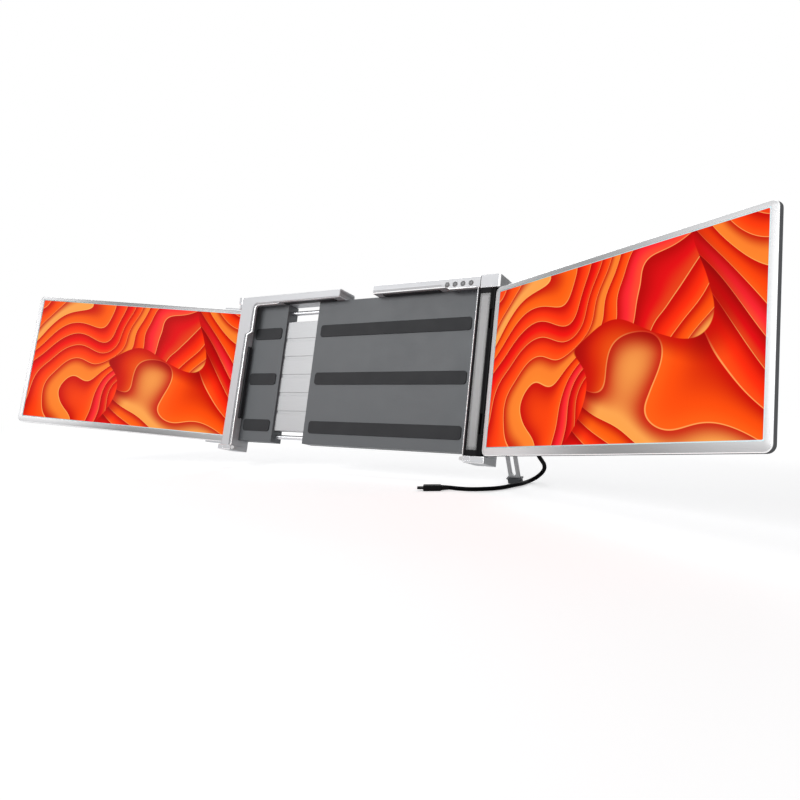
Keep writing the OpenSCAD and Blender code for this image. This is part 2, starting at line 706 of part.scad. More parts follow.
module button(i) color(dark) in_lid_frame() {
  depth_pin(button_x[i], button_z, front_y - button_proud, front_y + wall + gap, button_r);
  wide = button_r + button_flange;
  block(button_x[i] - wide, button_x[i] + wide, front_y + wall + gap,
        front_y + wall + gap + button_flange_t - 0.1, seat_z + wall + gap, button_z + wide);
}
module power_button() button(0);
module menu_button() button(1);
module minus_button() button(2);
module plus_button() button(3);
module button_board() color(board_green) in_lid_frame() {
  block(button_x[0] - 8, button_x[3] + 6, button_board_y, button_board_y + board_t,
        seat_z + wall, seat_z + wall + button_board_h);
  for (x = button_x)
    block(x - 1.5, x + 1.5, button_board_y - switch_t + 0.1, button_board_y,
          button_z - 1, button_z + 1.5);
}

// --- hinge column between the right caps and the right screen -------------------------------------
// Its section is drawn from the cap pins (left) to the screen's pins (right); the front is crowned
module column_section() {
  translate([link_l, 0]) circle(column_end_r);
  circle(column_r);
  intersection() {
    translate([0, -column_r]) square([link_l, 2 * column_r]);
    translate([link_l * 0.4, crown_r - column_crown]) circle(crown_r, $fn = 180);
    polygon([[0, -column_r - 1], [link_l, -column_r - 1], [link_l, column_end_r], [0, column_r]]);
  }
}
module column_extrude(z0, z1) translate([column_axis_x, column_axis_y, z0])
  linear_extrude(z1 - z0) children();
knuckle_z = [screen_z0 + knuckle_inset, screen_z1 - knuckle_inset - knuckle_l];
module at_knuckle(i) translate([0, 0, knuckle_z[i]]) children();
module column_window() translate([-column_r + cover_inset_x, -column_r - 1])
  square([link_l - cover_inset_x, column_r + 1 - (column_crown - 1.6)]);
module hinge_column() color(dark) in_lid_frame() difference() {
  column_extrude(column_z0, column_z1) column_section();
  column_extrude(column_z0 + cover_inset_z, column_z1 - cover_inset_z) column_window();
  column_pin_set(fit);
  for (i = [0, 1]) at_knuckle(i) {
    translate([column_axis_x + link_l - column_end_r - gap, column_axis_y - column_r - cut, -gap])
      cube([2 * column_end_r + 2 * gap, 2 * column_r + 2 * cut, knuckle_l + 2 * gap]);
  }
  right_pin_set(fit);
}
module column_cover() color([0.65, 0.65, 0.66]) in_lid_frame()
  column_extrude(column_z0 + cover_inset_z + 0.1, column_z1 - cover_inset_z - 0.1) intersection() {
    column_section();
    column_window();
    square([2 * (link_l - column_end_r - 0.9), 4 * column_r], center = true);
  }
module right_pin_set(extra) for (i = [0, 1]) at_knuckle(i)
  upright_pin(right_axis_x, column_axis_y, -7 - extra, knuckle_l + 7 + extra, column_pin_r - 0.2 + extra);
module right_hinge_pins() color(steel) in_lid_frame() right_pin_set(0);
module right_hinge_knuckles() color(dark) right_screen_frame()
  for (i = [0, 1]) at_knuckle(i) difference() {
    union() {
      cylinder(h = knuckle_l, r = column_end_r);
      translate([0, -1.6, 0]) cube([right_edge, 3.2, knuckle_l]);
    }
    translate([0, 0, -cut]) cylinder(h = knuckle_l + 2 * cut, r = column_pin_r - 0.2 + fit);
  }

// --- kickstand -----------------------------------------------------------------------------------
leg_drop = kick_z * cos(lean) - (kick_y + lid_t) * sin(lean) + hinge_line_z;
leg_l = leg_drop / cos(leg_angle);
ear_inner = leg_w / 2 + washer_t + 0.2;
module kick_frame() in_lid_frame() translate([kick_x, kick_y, kick_z]) rotate([lean, 0, 0])
  rotate([leg_angle, 0, 0]) children();
module kickstand_bracket() color(slate) in_lid_frame() difference() {
  union() {
    for (x0 = [kick_x - ear_inner - ear_plate_t, kick_x + ear_inner]) {
      block(x0, x0 + ear_plate_t, kick_y - leg_barrel_r, kick_y + leg_barrel_r, kick_z, kick_plate_z1);
      rod_along_x(x0, x0 + ear_plate_t, kick_y, kick_z, leg_barrel_r);
    }
    block(right_out_x, kick_x + ear_inner + ear_plate_t, kick_plate_y0, kick_plate_y1,
          kick_plate_z0, kick_plate_z1);
    // flange on the post's side
    block(right_out_x, right_out_x + kick_plate_t, kick_plate_y0, back_y - fold_gap,
          kick_plate_z0, kick_plate_z1);
  }
  rod_along_x(kick_x - leg_w, kick_x + leg_w, kick_y, kick_z, kick_pin_r + fit);
}
module kickstand_pin() color(steel) in_lid_frame()
  rod_along_x(kick_x - ear_inner - ear_plate_t, kick_x + ear_inner + ear_plate_t, kick_y, kick_z,
              kick_pin_r);
module kickstand_washers() color(pale) in_lid_frame()
  for (x0 = [kick_x - leg_w / 2 - washer_t - 0.1, kick_x + leg_w / 2 + 0.1]) difference() {
    rod_along_x(x0, x0 + washer_t, kick_y, kick_z, leg_barrel_r - 0.6);
    rod_along_x(x0 - cut, x0 + washer_t + cut, kick_y, kick_z, kick_pin_r + fit);
  }
module kickstand_leg() color(steel) kick_frame() difference() {
  union() {
    rotate([0, 90, 0]) translate([0, 0, -leg_w / 2]) cylinder(h = leg_w, r = leg_barrel_r);
    translate([-leg_w / 2, -leg_t / 2, -leg_l + foot_l]) cube([leg_w, leg_t, leg_l - foot_l]);
  }
  rotate([0, 90, 0]) translate([0, 0, -leg_w]) cylinder(h = 2 * leg_w, r = kick_pin_r + fit);
  slot_l = leg_l - foot_l - slot_start - 3;
  translate([0, 0, -slot_start - slot_l]) plate(-leg_t, leg_t)
    translate([-leg_slot / 2, 0]) slot(leg_slot, slot_l);
}
// The rubber foot is wider at its top edge and is cut off level with the desk
module kickstand_foot() color(rubber) difference() {
  kick_frame() union() {
    translate([-foot_w / 2, -foot_d / 2, -leg_l + foot_l - 1.4]) cube([foot_w, foot_d, 1.4]);
    translate([-foot_w / 2 + 1.2, -foot_d / 2 + 0.6, -leg_l - foot_d])
      cube([foot_w - 2.4, foot_d - 1.2, foot_d + foot_l - 1]);
  }
  // the block below the desk
  on_desk() block(kick_x - foot_w, kick_x + foot_w, 0, 2 * desk_cut, -desk_cut, 0);
}

// --- lid catches ---------------------------------------------------------------------------------
// Both are drawn outward from the nose that reaches over the lid's edge
module left_catch_place() translate([-catch_tip_x, 0, left_catch_z]) mirror([1, 0, 0]) children();
module right_catch_place() translate([catch_tip_x, 0, right_catch_z]) children();
module catch_bar(t) {
  r = catch_h / 2;
  y0 = front_y + catch_skin + catch_room;
  depth_pin(r, 0, y0, y0 + t, r);
  block(r, catch_l, y0, y0 + t, -r, r);
}
module catch_outline(l, r) {
  end_x = l - catch_h / 2;
  translate([catch_out - cut, -r]) square([end_x - catch_out + cut, 2 * r]);
  translate([end_x, 0]) circle(r);
}
// The room for a catch: a pocket behind the cap's front, and a shallow groove that outlines it there
module catch_seat(t, outline_l) {
  half = catch_h / 2 + 1.5 * catch_room;
  block(catch_out - cut, catch_l + catch_travel + fold_gap, front_y + catch_skin,
        front_y + catch_skin + t + 2 * catch_room, -half, half);
  plate(front_y - cut, front_y + outline_t) difference() {
    catch_outline(outline_l, catch_h / 2 + outline_w);
    catch_outline(outline_l, catch_h / 2);
  }
}
module left_catch() color("white") in_lid_frame() left_catch_place() catch_bar(left_catch_t);
module right_catch() color("white") in_lid_frame() right_catch_place() catch_bar(right_catch_t);

// --- cable ---------------------------------------------------------------------------------------
function unit(v) = v / norm(v);
function direction(i) =
  i == 0 ? [1, 0, 0] :
  i == len(route) - 1 ? [cos(far_angle), sin(far_angle), 0] : unit(route[i + 1] - route[i - 1]);
function ring(i) =
  let (t = direction(i), side = unit(cross(t, [0, 0, 1])), up = cross(side, t))
  [for (k = [0:cable_sides - 1])
    let (a = 360 * k / cable_sides)
    route[i] + cable_d / 2 * (cos(a) * side + sin(a) * up)];
module cable() color(dark) on_desk() {
  rings = len(route);
  points = [for (i = [0:rings - 1]) each ring(i)];
  side_faces = [for (i = [0:rings - 2], k = [0:cable_sides - 1])
    let (n = (k + 1) % cable_sides, a = i * cable_sides, b = a + cable_sides)
    each [[a + k, a + n, b + n], [a + k, b + n, b + k]]];
  start_face = [for (k = [cable_sides - 1:-1:0]) k];
  end_face = [for (k = [0:cable_sides - 1]) (rings - 1) * cable_sides + k];
  polyhedron(points, concat(side_faces, [start_face, end_face]), convexity = 6);
}
// A plug along +X with its tip ending at x = 0 of its overmold's front face
module plug_body() {
  beam(0, plug_l) translate([-plug_thick / 2, -plug_wide / 2]) rounded(plug_thick, plug_wide, 2.2);
  beam(-tip_l, 0) translate([-tip_short / 2, -tip_long / 2]) slot(tip_short, tip_long);
}
module relief() rotate([0, 90, 0]) cylinder(h = relief_l, r1 = cable_d / 2 + 0.9, r2 = cable_d / 2 + 0.2);
module near_place() in_lid_frame() translate([right_out_x + gap, port_y, port_z]) children();
module far_place() on_desk() translate(far_start) rotate([0, 0, far_angle]) children();
module near_plug() color(dark) near_place() plug_body();
module near_relief() color(dark) near_place() translate([plug_l, 0, 0]) relief();
module far_plug() color(dark) far_place()
  translate([relief_l + plug_l, 0, 0]) rotate([90, 0, 180]) plug_body();
module far_relief() color(dark) far_place() translate([relief_l, 0, 0]) rotate([0, 0, 180]) relief();

main_housing();
rear_cover();
right_bracket();
right_top_cap();
right_bottom_cap();
right_arm_plug();
lid_pad();
right_top_pad();
guide_bushes();
tongue_glides();
main_board();
button_board();
usb_c_port();
cover_screws();
kickstand_bracket();
kickstand_pin();
column_pins();
left_bracket();
left_housing();
left_rear_cover();
slide_tongue();
guide_rods();
left_top_cap();
left_bottom_cap();
left_arm_plug();
left_pads();
left_hinge_pins();
left_cover_screws();
left_bezel();
left_panel();
left_backlight();
left_driver_board();
left_rear_shell();
left_hinge_ears();
left_screen_screws();
hinge_column();
column_cover();
right_hinge_pins();
right_bezel();
right_panel();
right_backlight();
right_driver_board();
right_rear_shell();
right_hinge_knuckles();
right_screen_screws();
kickstand_leg();
kickstand_foot();
kickstand_washers();
left_catch();
right_catch();
power_button();
menu_button();
minus_button();
plus_button();
cable();
near_plug();
near_relief();
far_plug();
far_relief();
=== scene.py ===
import json
from math import cos, pi, radians, sin

import bmesh
import bpy
from mathutils import Matrix, Vector

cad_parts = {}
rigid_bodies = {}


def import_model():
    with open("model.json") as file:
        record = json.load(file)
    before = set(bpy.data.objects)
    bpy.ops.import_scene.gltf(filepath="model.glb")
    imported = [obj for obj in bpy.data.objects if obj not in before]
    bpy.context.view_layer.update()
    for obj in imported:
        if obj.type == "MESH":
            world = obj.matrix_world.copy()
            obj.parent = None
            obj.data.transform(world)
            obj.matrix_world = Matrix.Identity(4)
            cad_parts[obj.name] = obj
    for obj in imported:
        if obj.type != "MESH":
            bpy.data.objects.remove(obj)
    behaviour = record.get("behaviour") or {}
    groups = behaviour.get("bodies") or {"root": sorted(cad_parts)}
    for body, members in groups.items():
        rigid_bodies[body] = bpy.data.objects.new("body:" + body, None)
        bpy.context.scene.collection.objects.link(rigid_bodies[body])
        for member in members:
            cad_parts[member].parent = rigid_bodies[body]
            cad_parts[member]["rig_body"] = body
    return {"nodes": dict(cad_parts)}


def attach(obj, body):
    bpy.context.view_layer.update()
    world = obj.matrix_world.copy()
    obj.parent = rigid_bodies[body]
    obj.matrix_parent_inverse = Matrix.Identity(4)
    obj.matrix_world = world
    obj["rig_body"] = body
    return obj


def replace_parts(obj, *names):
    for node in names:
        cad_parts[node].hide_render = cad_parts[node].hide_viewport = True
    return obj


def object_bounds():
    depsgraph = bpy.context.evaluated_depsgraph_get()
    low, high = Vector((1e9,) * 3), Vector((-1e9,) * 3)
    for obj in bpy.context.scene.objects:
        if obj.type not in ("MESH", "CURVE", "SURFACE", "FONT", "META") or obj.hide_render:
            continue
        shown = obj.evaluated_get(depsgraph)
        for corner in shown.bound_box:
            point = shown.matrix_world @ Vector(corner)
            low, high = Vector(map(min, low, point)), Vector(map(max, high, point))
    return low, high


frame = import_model()
cad_low, cad_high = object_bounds()

# The laptop's lid, which the frame hangs on
LEAN = radians(14)
ORIGIN_UP_LID = 0.110
LID_THICK = 0.007
HINGE_LINE_UP = 0.0155
DESK_BACK = -(ORIGIN_UP_LID * sin(LEAN) + LID_THICK * cos(LEAN))
DESK_DOWN = -(HINGE_LINE_UP + ORIGIN_UP_LID * cos(LEAN) - LID_THICK * sin(LEAN))

# The screens
DISPLAY_WIDE = 0.310
DISPLAY_HIGH = 0.1744
SIDE_BORDER = 0.007
LOW_BORDER = 0.0092
WINDOW_MARGIN = 0.0007
PANE_GAP = 0.00005
PANE_THICK = 0.0004
PANE_EDGE = 0.00012
PANEL_DEPTH = 0.0007
LEFT_YAW = radians(24)
RIGHT_YAW = radians(26)
LEFT_AXIS = (-0.1985, -0.009, 0)
RIGHT_AXIS = (0.1968, -0.0075, 0)
LEFT_CORNER = (0.007, 0.0035, 0.0202)
RIGHT_CORNER = (0.0041, -0.0028, 0.0202)

# The cable
CABLE_THICK = 0.0046
CABLE_SIDES = 6
CABLE_STEPS = 12
PORT = (0.2033, 0.0094, 0.0452)
PLUG_LONG = 0.019
PLUG_EDGE = 0.0006
RELIEF_LONG = 0.009
RELIEF_START_PROUD = 0.0009
RELIEF_END_PROUD = 0.0002
RELIEF_EDGE = 0.00008
RELIEF_RIBS = 4
RIB_DEEP = 0.0004
FAR_START = (0.1715, -0.0214, 0.0033)
FAR_TURN = radians(208)

lid = Matrix.Rotation(-LEAN, 4, "X") @ Matrix.Translation((0, 0, -ORIGIN_UP_LID))
desk = Matrix.Translation((0, DESK_BACK, DESK_DOWN))
left_screen = (
    lid @ Matrix.Translation(LEFT_AXIS) @ Matrix.Rotation(LEFT_YAW, 4, "Z")
    @ Matrix.Translation(LEFT_CORNER)
)
right_screen = (
    lid @ Matrix.Translation(RIGHT_AXIS) @ Matrix.Rotation(-RIGHT_YAW, 4, "Z")
    @ Matrix.Translation(RIGHT_CORNER)
)
near_plug_place = lid @ Matrix.Translation(PORT)
far_place = desk @ Matrix.Translation(FAR_START) @ Matrix.Rotation(FAR_TURN, 4, "Z")


# --- camera -----------------------------------------------------------------------------
CAMERA_PLACE = Vector((0.5373, -0.7228, 0.0176))
CAMERA_AIM = Vector((0.0537, 0.0348, -0.0289))
CAMERA_ROLL = radians(-1.206)
CAMERA_LENS = 31.985
CAMERA_SENSOR = 36


def facing_towards(place, aim):
    """Where a camera or a lamp stands, turned to look at a point."""
    turn = (aim - place).to_track_quat("-Z", "Y")
    return Matrix.Translation(place) @ turn.to_matrix().to_4x4()


camera = bpy.data.objects.new("camera", bpy.data.cameras.new("camera"))
camera.data.lens = CAMERA_LENS
camera.data.sensor_width = CAMERA_SENSOR
camera.matrix_world = (
    facing_towards(CAMERA_PLACE, CAMERA_AIM) @ Matrix.Rotation(CAMERA_ROLL, 4, "Z")
)
bpy.context.scene.collection.objects.link(camera)
bpy.context.scene.camera = camera
bpy.context.scene.view_settings.view_transform = "Standard"


# --- making materials -------------------------------------------------------------------
def node(tree, kind, inputs=None, **settings):
    """Adds a shader node; a value in inputs is either a number or a socket to link."""
    made = tree.nodes.new(kind)
    for name, value in settings.items():
        setattr(made, name, value)
    for name, value in (inputs or {}).items():
        if isinstance(value, bpy.types.NodeSocket):
            tree.links.new(value, made.inputs[name])
        else:
            made.inputs[name].default_value = value
    return made


def calc(tree, operation, first, second=0.0, third=0.0):
    """One sum of a Math node."""
    inputs = {0: first, 1: second, 2: third}
    return node(tree, "ShaderNodeMath", inputs, operation=operation).outputs[0]


def blend_colours(tree, share, first, second, way="MIX"):
    inputs = {0: share, 6: first, 7: second}
    return node(tree, "ShaderNodeMix", inputs, data_type="RGBA", blend_type=way).outputs[2]


def shade(tree, colour, tone):
    """A colour made lighter or darker by a tone that changes over the surface."""
    inputs = {0: colour, "Scale": tone}
    return node(tree, "ShaderNodeVectorMath", inputs, operation="SCALE").outputs[0]


def ramp(tree, value, low, high, to_low=0.0, to_high=1.0):
    """A soft step of a value between two limits."""
    inputs = {"Value": value, "From Min": low, "From Max": high, "To Min": to_low,
              "To Max": to_high}
    made = node(tree, "ShaderNodeMapRange", inputs, interpolation_type="SMOOTHSTEP")
    return made.outputs["Result"]


def noise(tree, place, scale, detail, **more):
    inputs = {"Vector": place, "Scale": scale, "Detail": detail, **more}
    return node(tree, "ShaderNodeTexNoise", inputs).outputs["Fac"]


def on_object(tree):
    """The place on a piece, in its own coordinates."""
    return node(tree, "ShaderNodeTexCoord").outputs["Object"]


def on_map(tree):
    """The place on a piece's UV map, across as X and up as Y."""
    uv = node(tree, "ShaderNodeUVMap").outputs["UV"]
    return node(tree, "ShaderNodeSeparateXYZ", {0: uv}).outputs


def effect(name, inputs, outputs):
    """A shader node group with these sockets, and the nodes that read and fill them."""
    group = bpy.data.node_groups.new(name, "ShaderNodeTree")
    for label, kind in inputs.items():
        group.interface.new_socket(label, in_out="INPUT", socket_type="NodeSocket" + kind)
    for label, kind in outputs.items():
        group.interface.new_socket(label, in_out="OUTPUT", socket_type="NodeSocket" + kind)
    given = group.nodes.new("NodeGroupInput").outputs
    return group, given, group.nodes.new("NodeGroupOutput")


def fill(group, end, **results):
    """Links what a group works out to its outputs."""
    for label, socket in results.items():
        group.links.new(socket, end.inputs[label.replace("_", " ")])


def surface_grain_effect():
    """Fine grain, broad uneven tone and worn edges, for metal, paint and moulded plastic."""
    group, given, end = effect(
        "surface grain",
        {"Colour": "Color", "Edge Colour": "Color", "Grain Scale": "Float",
         "Tone Spread": "Float", "Roughness": "Float", "Roughness Spread": "Float",
         "Edge Wear": "Float"},
        {"Colour": "Color", "Roughness": "Float", "Height": "Float"},
    )
    place = on_object(group)
    grain = noise(group, place, given["Grain Scale"], 3.0, Roughness=0.6)
    clouds = noise(group, place, 14.0, 4.0)
    smears = noise(group, place, 55.0, 2.0)
    tone = calc(group, "MULTIPLY_ADD", calc(group, "SUBTRACT", clouds, 0.5),
                given["Tone Spread"], 1.0)
    toned = shade(group, given["Colour"], tone)
    pointed = node(group, "ShaderNodeNewGeometry").outputs["Pointiness"]
    bare = ramp(group, pointed, 0.52, 0.62)
    worn = calc(group, "MULTIPLY", calc(group, "MULTIPLY", bare, smears), given["Edge Wear"])
    uneven = calc(group, "SUBTRACT", calc(group, "ADD", smears, grain), 1.0)
    rough = calc(group, "MULTIPLY_ADD", uneven, given["Roughness Spread"],
                 given["Roughness"])
    fill(group, end, Colour=blend_colours(group, worn, toned, given["Edge Colour"]),
         Roughness=rough, Height=grain)
    return group


def brushed_effect():
    """Fine brushed lines, with the tone and the gloss that they give."""
    group, given, end = effect(
        "brushed lines",
        {"Colour": "Color", "Along": "Vector", "Roughness": "Float"},
        {"Colour": "Color", "Roughness": "Float", "Height": "Float"},
    )
    stretched = node(group, "ShaderNodeVectorMath", {0: on_object(group), 1: given["Along"]},
                     operation="MULTIPLY").outputs[0]
    lines = noise(group, stretched, 1.0, 4.0)
    tone = ramp(group, lines, 0.3, 0.7, 0.96, 1.03)
    rough = calc(group, "MULTIPLY_ADD", calc(group, "SUBTRACT", lines, 0.5), 0.16,
                 given["Roughness"])
    fill(group, end, Colour=shade(group, given["Colour"], tone), Roughness=rough,
         Height=lines)
    return group


# Papers of the picture, from the lowest step to the highest, over and over
PAPER_COLOURS = [
    (0.92, 0.006, 0.002, 1), (1.0, 0.035, 0.002, 1), (1.0, 0.11, 0.003, 1),
    (1.0, 0.38, 0.08, 1), (1.0, 0.075, 0.002, 1), (1.0, 0.025, 0.002, 1),
    (0.80, 0.003, 0.005, 1), (1.0, 0.02, 0.03, 1), (1.0, 0.06, 0.002, 1),
    (1.0, 0.22, 0.025, 1), (1.0, 0.045, 0.002, 1),
]
DEEP_SHADE = (0.62, 0.07, 0.09, 1)
PAPER_GLOW = (1.0, 0.36, 0.03, 1)
PAPER_EDGE = (1.0, 0.55, 0.16, 1)


def paper_terraces_effect():
    """Sheets of cut paper in steps, each with a light edge and the shadow of the next."""
    group, given, end = effect(
        "paper terraces",
        {"Point": "Vector", "Turn": "Float", "Slope": "Float", "Swing": "Float",
         "Winding": "Float", "Shift": "Float"},
        {"Colour": "Color"},
    )
    turned = node(group, "ShaderNodeVectorRotate",
                  {"Vector": given["Point"], "Angle": given["Turn"]},
                  rotation_type="Z_AXIS").outputs[0]
    across = node(group, "ShaderNodeSeparateXYZ", {0: turned}).outputs["Y"]
    winding = noise(group, turned, given["Winding"], 0.0, Distortion=0.5)
    sway = calc(group, "MULTIPLY", calc(group, "SUBTRACT", winding, 0.5), given["Swing"])
    climb = calc(group, "MULTIPLY_ADD", across, given["Slope"], given["Shift"])
    height = calc(group, "ADD", climb, sway)
    level = calc(group, "FLOOR", height)
    part = calc(group, "SUBTRACT", height, level)
    share = calc(group, "DIVIDE", calc(group, "ADD", level, 0.5), float(len(PAPER_COLOURS)))
    paper = node(group, "ShaderNodeValToRGB", {"Fac": calc(group, "FRACT", share)})
    paper.color_ramp.interpolation = "CONSTANT"
    steps = paper.color_ramp.elements
    while len(steps) < len(PAPER_COLOURS):
        steps.new(0.5)
    for i, colour in enumerate(PAPER_COLOURS):
        steps[i].position = i / len(PAPER_COLOURS)
        steps[i].color = colour
    glow = ramp(group, part, 0.0, 0.5, 0.16, 0.0)
    lit = blend_colours(group, glow, paper.outputs["Color"], PAPER_GLOW)
    shadow = ramp(group, part, 0.4, 1.0)
    shaded = blend_colours(group, shadow, lit, DEEP_SHADE, "MULTIPLY")
    rim = calc(group, "MULTIPLY", ramp(group, part, 0.022, 0.045, 0.6, 0.0),
               ramp(group, part, 0.0, 0.01))
    fill(group, end, Colour=blend_colours(group, rim, shaded, PAPER_EDGE))
    return group


SURFACE_GRAIN = surface_grain_effect()
BRUSHED_LINES = brushed_effect()
PAPER_TERRACES = paper_terraces_effect()


def new_material(name):
    made = bpy.data.materials.new(name)
    made.use_nodes = True
    tree = made.node_tree
    return made, tree, tree.nodes["Principled BSDF"]


def place_effect(tree, group, **values):
    """Places a group in a material with its own values."""
    inputs = {label.replace("_", " "): value for label, value in values.items()}
    return node(tree, "ShaderNodeGroup", inputs, node_tree=group).outputs


def give_look(tree, surface, look, bump_depth, **constants):
    """Links an effect to a surface, and sets what is the same all over it."""
    tree.links.new(look["Colour"], surface.inputs["Base Color"])
    tree.links.new(look["Roughness"], surface.inputs["Roughness"])
    bump = node(tree, "ShaderNodeBump",
                {"Height": look["Height"], "Distance": bump_depth, "Strength": 1.0})
    tree.links.new(bump.outputs["Normal"], surface.inputs["Normal"])
    for label, value in constants.items():
        surface.inputs[label.replace("_", " ")].default_value = value


def grained(name, colour, edge_colour, roughness, metallic=0.0, grain_scale=2500.0,
            grain_depth=0.00004, tone_spread=0.12, roughness_spread=0.12, edge_wear=0.3,
            coat=0.0, specular=0.5):
    """A material with the surface grain: its colours, its gloss and how deep the grain is."""
    made, tree, surface = new_material(name)
    look = place_effect(
        tree, SURFACE_GRAIN, Colour=(*colour, 1), Edge_Colour=(*edge_colour, 1),
        Grain_Scale=grain_scale, Tone_Spread=tone_spread, Roughness=roughness,
        Roughness_Spread=roughness_spread, Edge_Wear=edge_wear,
    )
    give_look(tree, surface, look, grain_depth, Metallic=metallic, Coat_Weight=coat,
              Specular_IOR_Level=specular)
    return made


def brushed(name, colour, roughness, along, metallic=1.0):
    """A brushed metal: along says how fine the lines are in X, Y and Z."""
    made, tree, surface = new_material(name)
    look = place_effect(tree, BRUSHED_LINES, Colour=(*colour, 1), Along=along,
                        Roughness=roughness)
    give_look(tree, surface, look, 0.00001, Metallic=metallic)
    return made


def cool(tone):
    """A faintly blue grey."""
    return (tone, tone * 1.005, tone * 1.02, 1)


FRAME_LINE_LEAN = 0.18


def frame_painted_sheen(name, low_tones, high_tones, middle_at):
    """Satin metal of a screen frame with painted reflection: pale at its ends, greyer along a
    leaning line between.

    The tones are those of the left end, the middle and the right end, first along the
    bottom and then along the top."""
    made, tree, surface = new_material(name)
    across = on_map(tree)
    middle = calc(tree, "MULTIPLY_ADD", across["Y"], -FRAME_LINE_LEAN,
                  middle_at + FRAME_LINE_LEAN / 2)
    away = calc(tree, "SUBTRACT", across["X"], middle)
    left, centre, right = [
        blend_colours(tree, across["Y"], cool(low), cool(high))
        for low, high in zip(low_tones, high_tones)
    ]
    # painted reflection and shade: pale towards both ends, greyer along the leaning middle
    # line
    colour = blend_colours(tree, ramp(tree, away, -middle_at, 0.0), left, centre)
    colour = blend_colours(tree, ramp(tree, away, 0.0, 1 - middle_at), colour, right)
    look = place_effect(tree, BRUSHED_LINES, Colour=colour, Along=(60, 60, 4000),
                        Roughness=0.36)
    give_look(tree, surface, look, 0.000006, Metallic=0.2)
    return made


def column_painted_sheen():
    """Glossy dark cover of the hinge column, with a painted grey sheen between its dark edges
    and painted shade at its ends.
    """
    made, tree, surface = new_material("column_painted_sheen")
    across = on_map(tree)
    side = calc(tree, "MINIMUM", across["X"], calc(tree, "SUBTRACT", 1.0, across["X"]))
    end = calc(tree, "MINIMUM", across["Y"], calc(tree, "SUBTRACT", 1.0, across["Y"]))
    # painted sheen across the middle, fading to painted shade at the sides and at both ends
    sheen = calc(tree, "MULTIPLY", ramp(tree, side, 0.02, 0.3), ramp(tree, end, 0.0, 0.03))
    colour = blend_colours(tree, sheen, (0.012, 0.012, 0.013, 1), (0.28, 0.28, 0.285, 1))
    look = place_effect(
        tree, SURFACE_GRAIN, Colour=colour, Edge_Colour=(0.5, 0.5, 0.5, 1),
        Grain_Scale=700.0, Tone_Spread=0.04, Roughness=0.2, Roughness_Spread=0.06,
        Edge_Wear=0.0,
    )
    give_look(tree, surface, look, 0.000004, Coat_Weight=0.1)
    return made


def silver_painted_lip_shade():
    """Blasted silver of the right arm's low strip, with painted shade that darkens it softly
    up to the lip.
    """
    made, tree, surface = new_material("silver_painted_lip_shade")
    across = on_map(tree)
    # painted shade: the strip darkens towards the step at the lip
    light = calc(tree, "MAXIMUM", ramp(tree, across["Y"], 0.948, 0.9645),
                 ramp(tree, across["X"], 0.55, 0.6))
    colour = blend_colours(tree, light, (0.46, 0.465, 0.48, 1), (0.72, 0.735, 0.76, 1))
    look = place_effect(
        tree, SURFACE_GRAIN, Colour=colour, Edge_Colour=(0.86, 0.87, 0.89, 1),
        Grain_Scale=3200.0, Tone_Spread=0.05, Roughness=0.42, Roughness_Spread=0.12,
        Edge_Wear=0.3,
    )
    give_look(tree, surface, look, 0.000012, Metallic=0.12)
    return made


PICTURE_CORNER = 0.011
LINE_START = (0.26, 0.52, 0.54, 1)
LINE_END = (0.7, 0.95, 1.0, 1)
UNLIT_GLASS = (0.003, 0.003, 0.003, 1)


def from_picture_edge(tree, across, aspect):
    """How far in from the edge of a sheet with round corners, as a share of its height."""
    out = []
    for axis, size in (("X", aspect), ("Y", 1.0)):
        off_middle = calc(tree, "MULTIPLY_ADD", across[axis], size, -size / 2)
        out.append(calc(tree, "SUBTRACT", calc(tree, "ABSOLUTE", off_middle),
                        size / 2 - PICTURE_CORNER))
    beyond = node(tree, "ShaderNodeCombineXYZ", {
        axis: calc(tree, "MAXIMUM", value, 0.0) for axis, value in zip("XY", out)
    }).outputs[0]
    reach = node(tree, "ShaderNodeVectorMath", {0: beyond}, operation="LENGTH")
    inside = calc(tree, "MINIMUM", calc(tree, "MAXIMUM", out[0], out[1]), 0.0)
    total = calc(tree, "ADD", reach.outputs["Value"], inside)
    return calc(tree, "SUBTRACT", PICTURE_CORNER, total)


def picture_material():
    """A lit picture of layered paper waves behind glass, with a thin bright line round it."""
    made, tree, surface = new_material("lit_picture")
    across = on_map(tree)
    aspect = DISPLAY_WIDE / DISPLAY_HIGH
    point = node(tree, "ShaderNodeCombineXYZ",
                 {"X": calc(tree, "MULTIPLY", across["X"], aspect), "Y": across["Y"]})
    point = point.outputs[0]
    far = place_effect(tree, PAPER_TERRACES, Point=point, Turn=0.5, Slope=6.5, Swing=8.0,
                       Winding=1.15, Shift=21.3)["Colour"]
    near = place_effect(tree, PAPER_TERRACES, Point=point, Turn=-0.95, Slope=9.0,
                        Swing=7.5, Winding=1.5, Shift=33.0)["Colour"]
    # the near papers end in one long winding edge, which throws a shadow on the far ones
    edge = noise(tree, point, 1.3, 0.0, Distortion=0.3)
    lean = calc(tree, "MULTIPLY_ADD", across["X"], 0.55,
                calc(tree, "MULTIPLY", across["Y"], -0.5))
    winding = calc(tree, "MULTIPLY", calc(tree, "SUBTRACT", edge, 0.5), 1.3)
    away = calc(tree, "ADD", winding, lean)
    behind = blend_colours(tree, ramp(tree, away, 0.0, 0.16, 1.0, 0.0), far, DEEP_SHADE,
                           "MULTIPLY")
    colour = blend_colours(tree, ramp(tree, away, -0.002, 0.002, 1.0, 0.0), behind, near)
    line = ramp(tree, from_picture_edge(tree, across, aspect), 0.003, 0.006, 1.0, 0.0)
    line_colour = blend_colours(tree, across["X"], LINE_START, LINE_END)
    tree.links.new(blend_colours(tree, line, colour, line_colour),
                   surface.inputs["Emission Color"])
    surface.inputs["Emission Strength"].default_value = 1.0
    surface.inputs["Base Color"].default_value = UNLIT_GLASS
    surface.inputs["Roughness"].default_value = 0.12
    surface.inputs["Specular IOR Level"].default_value = 0.02
    return made


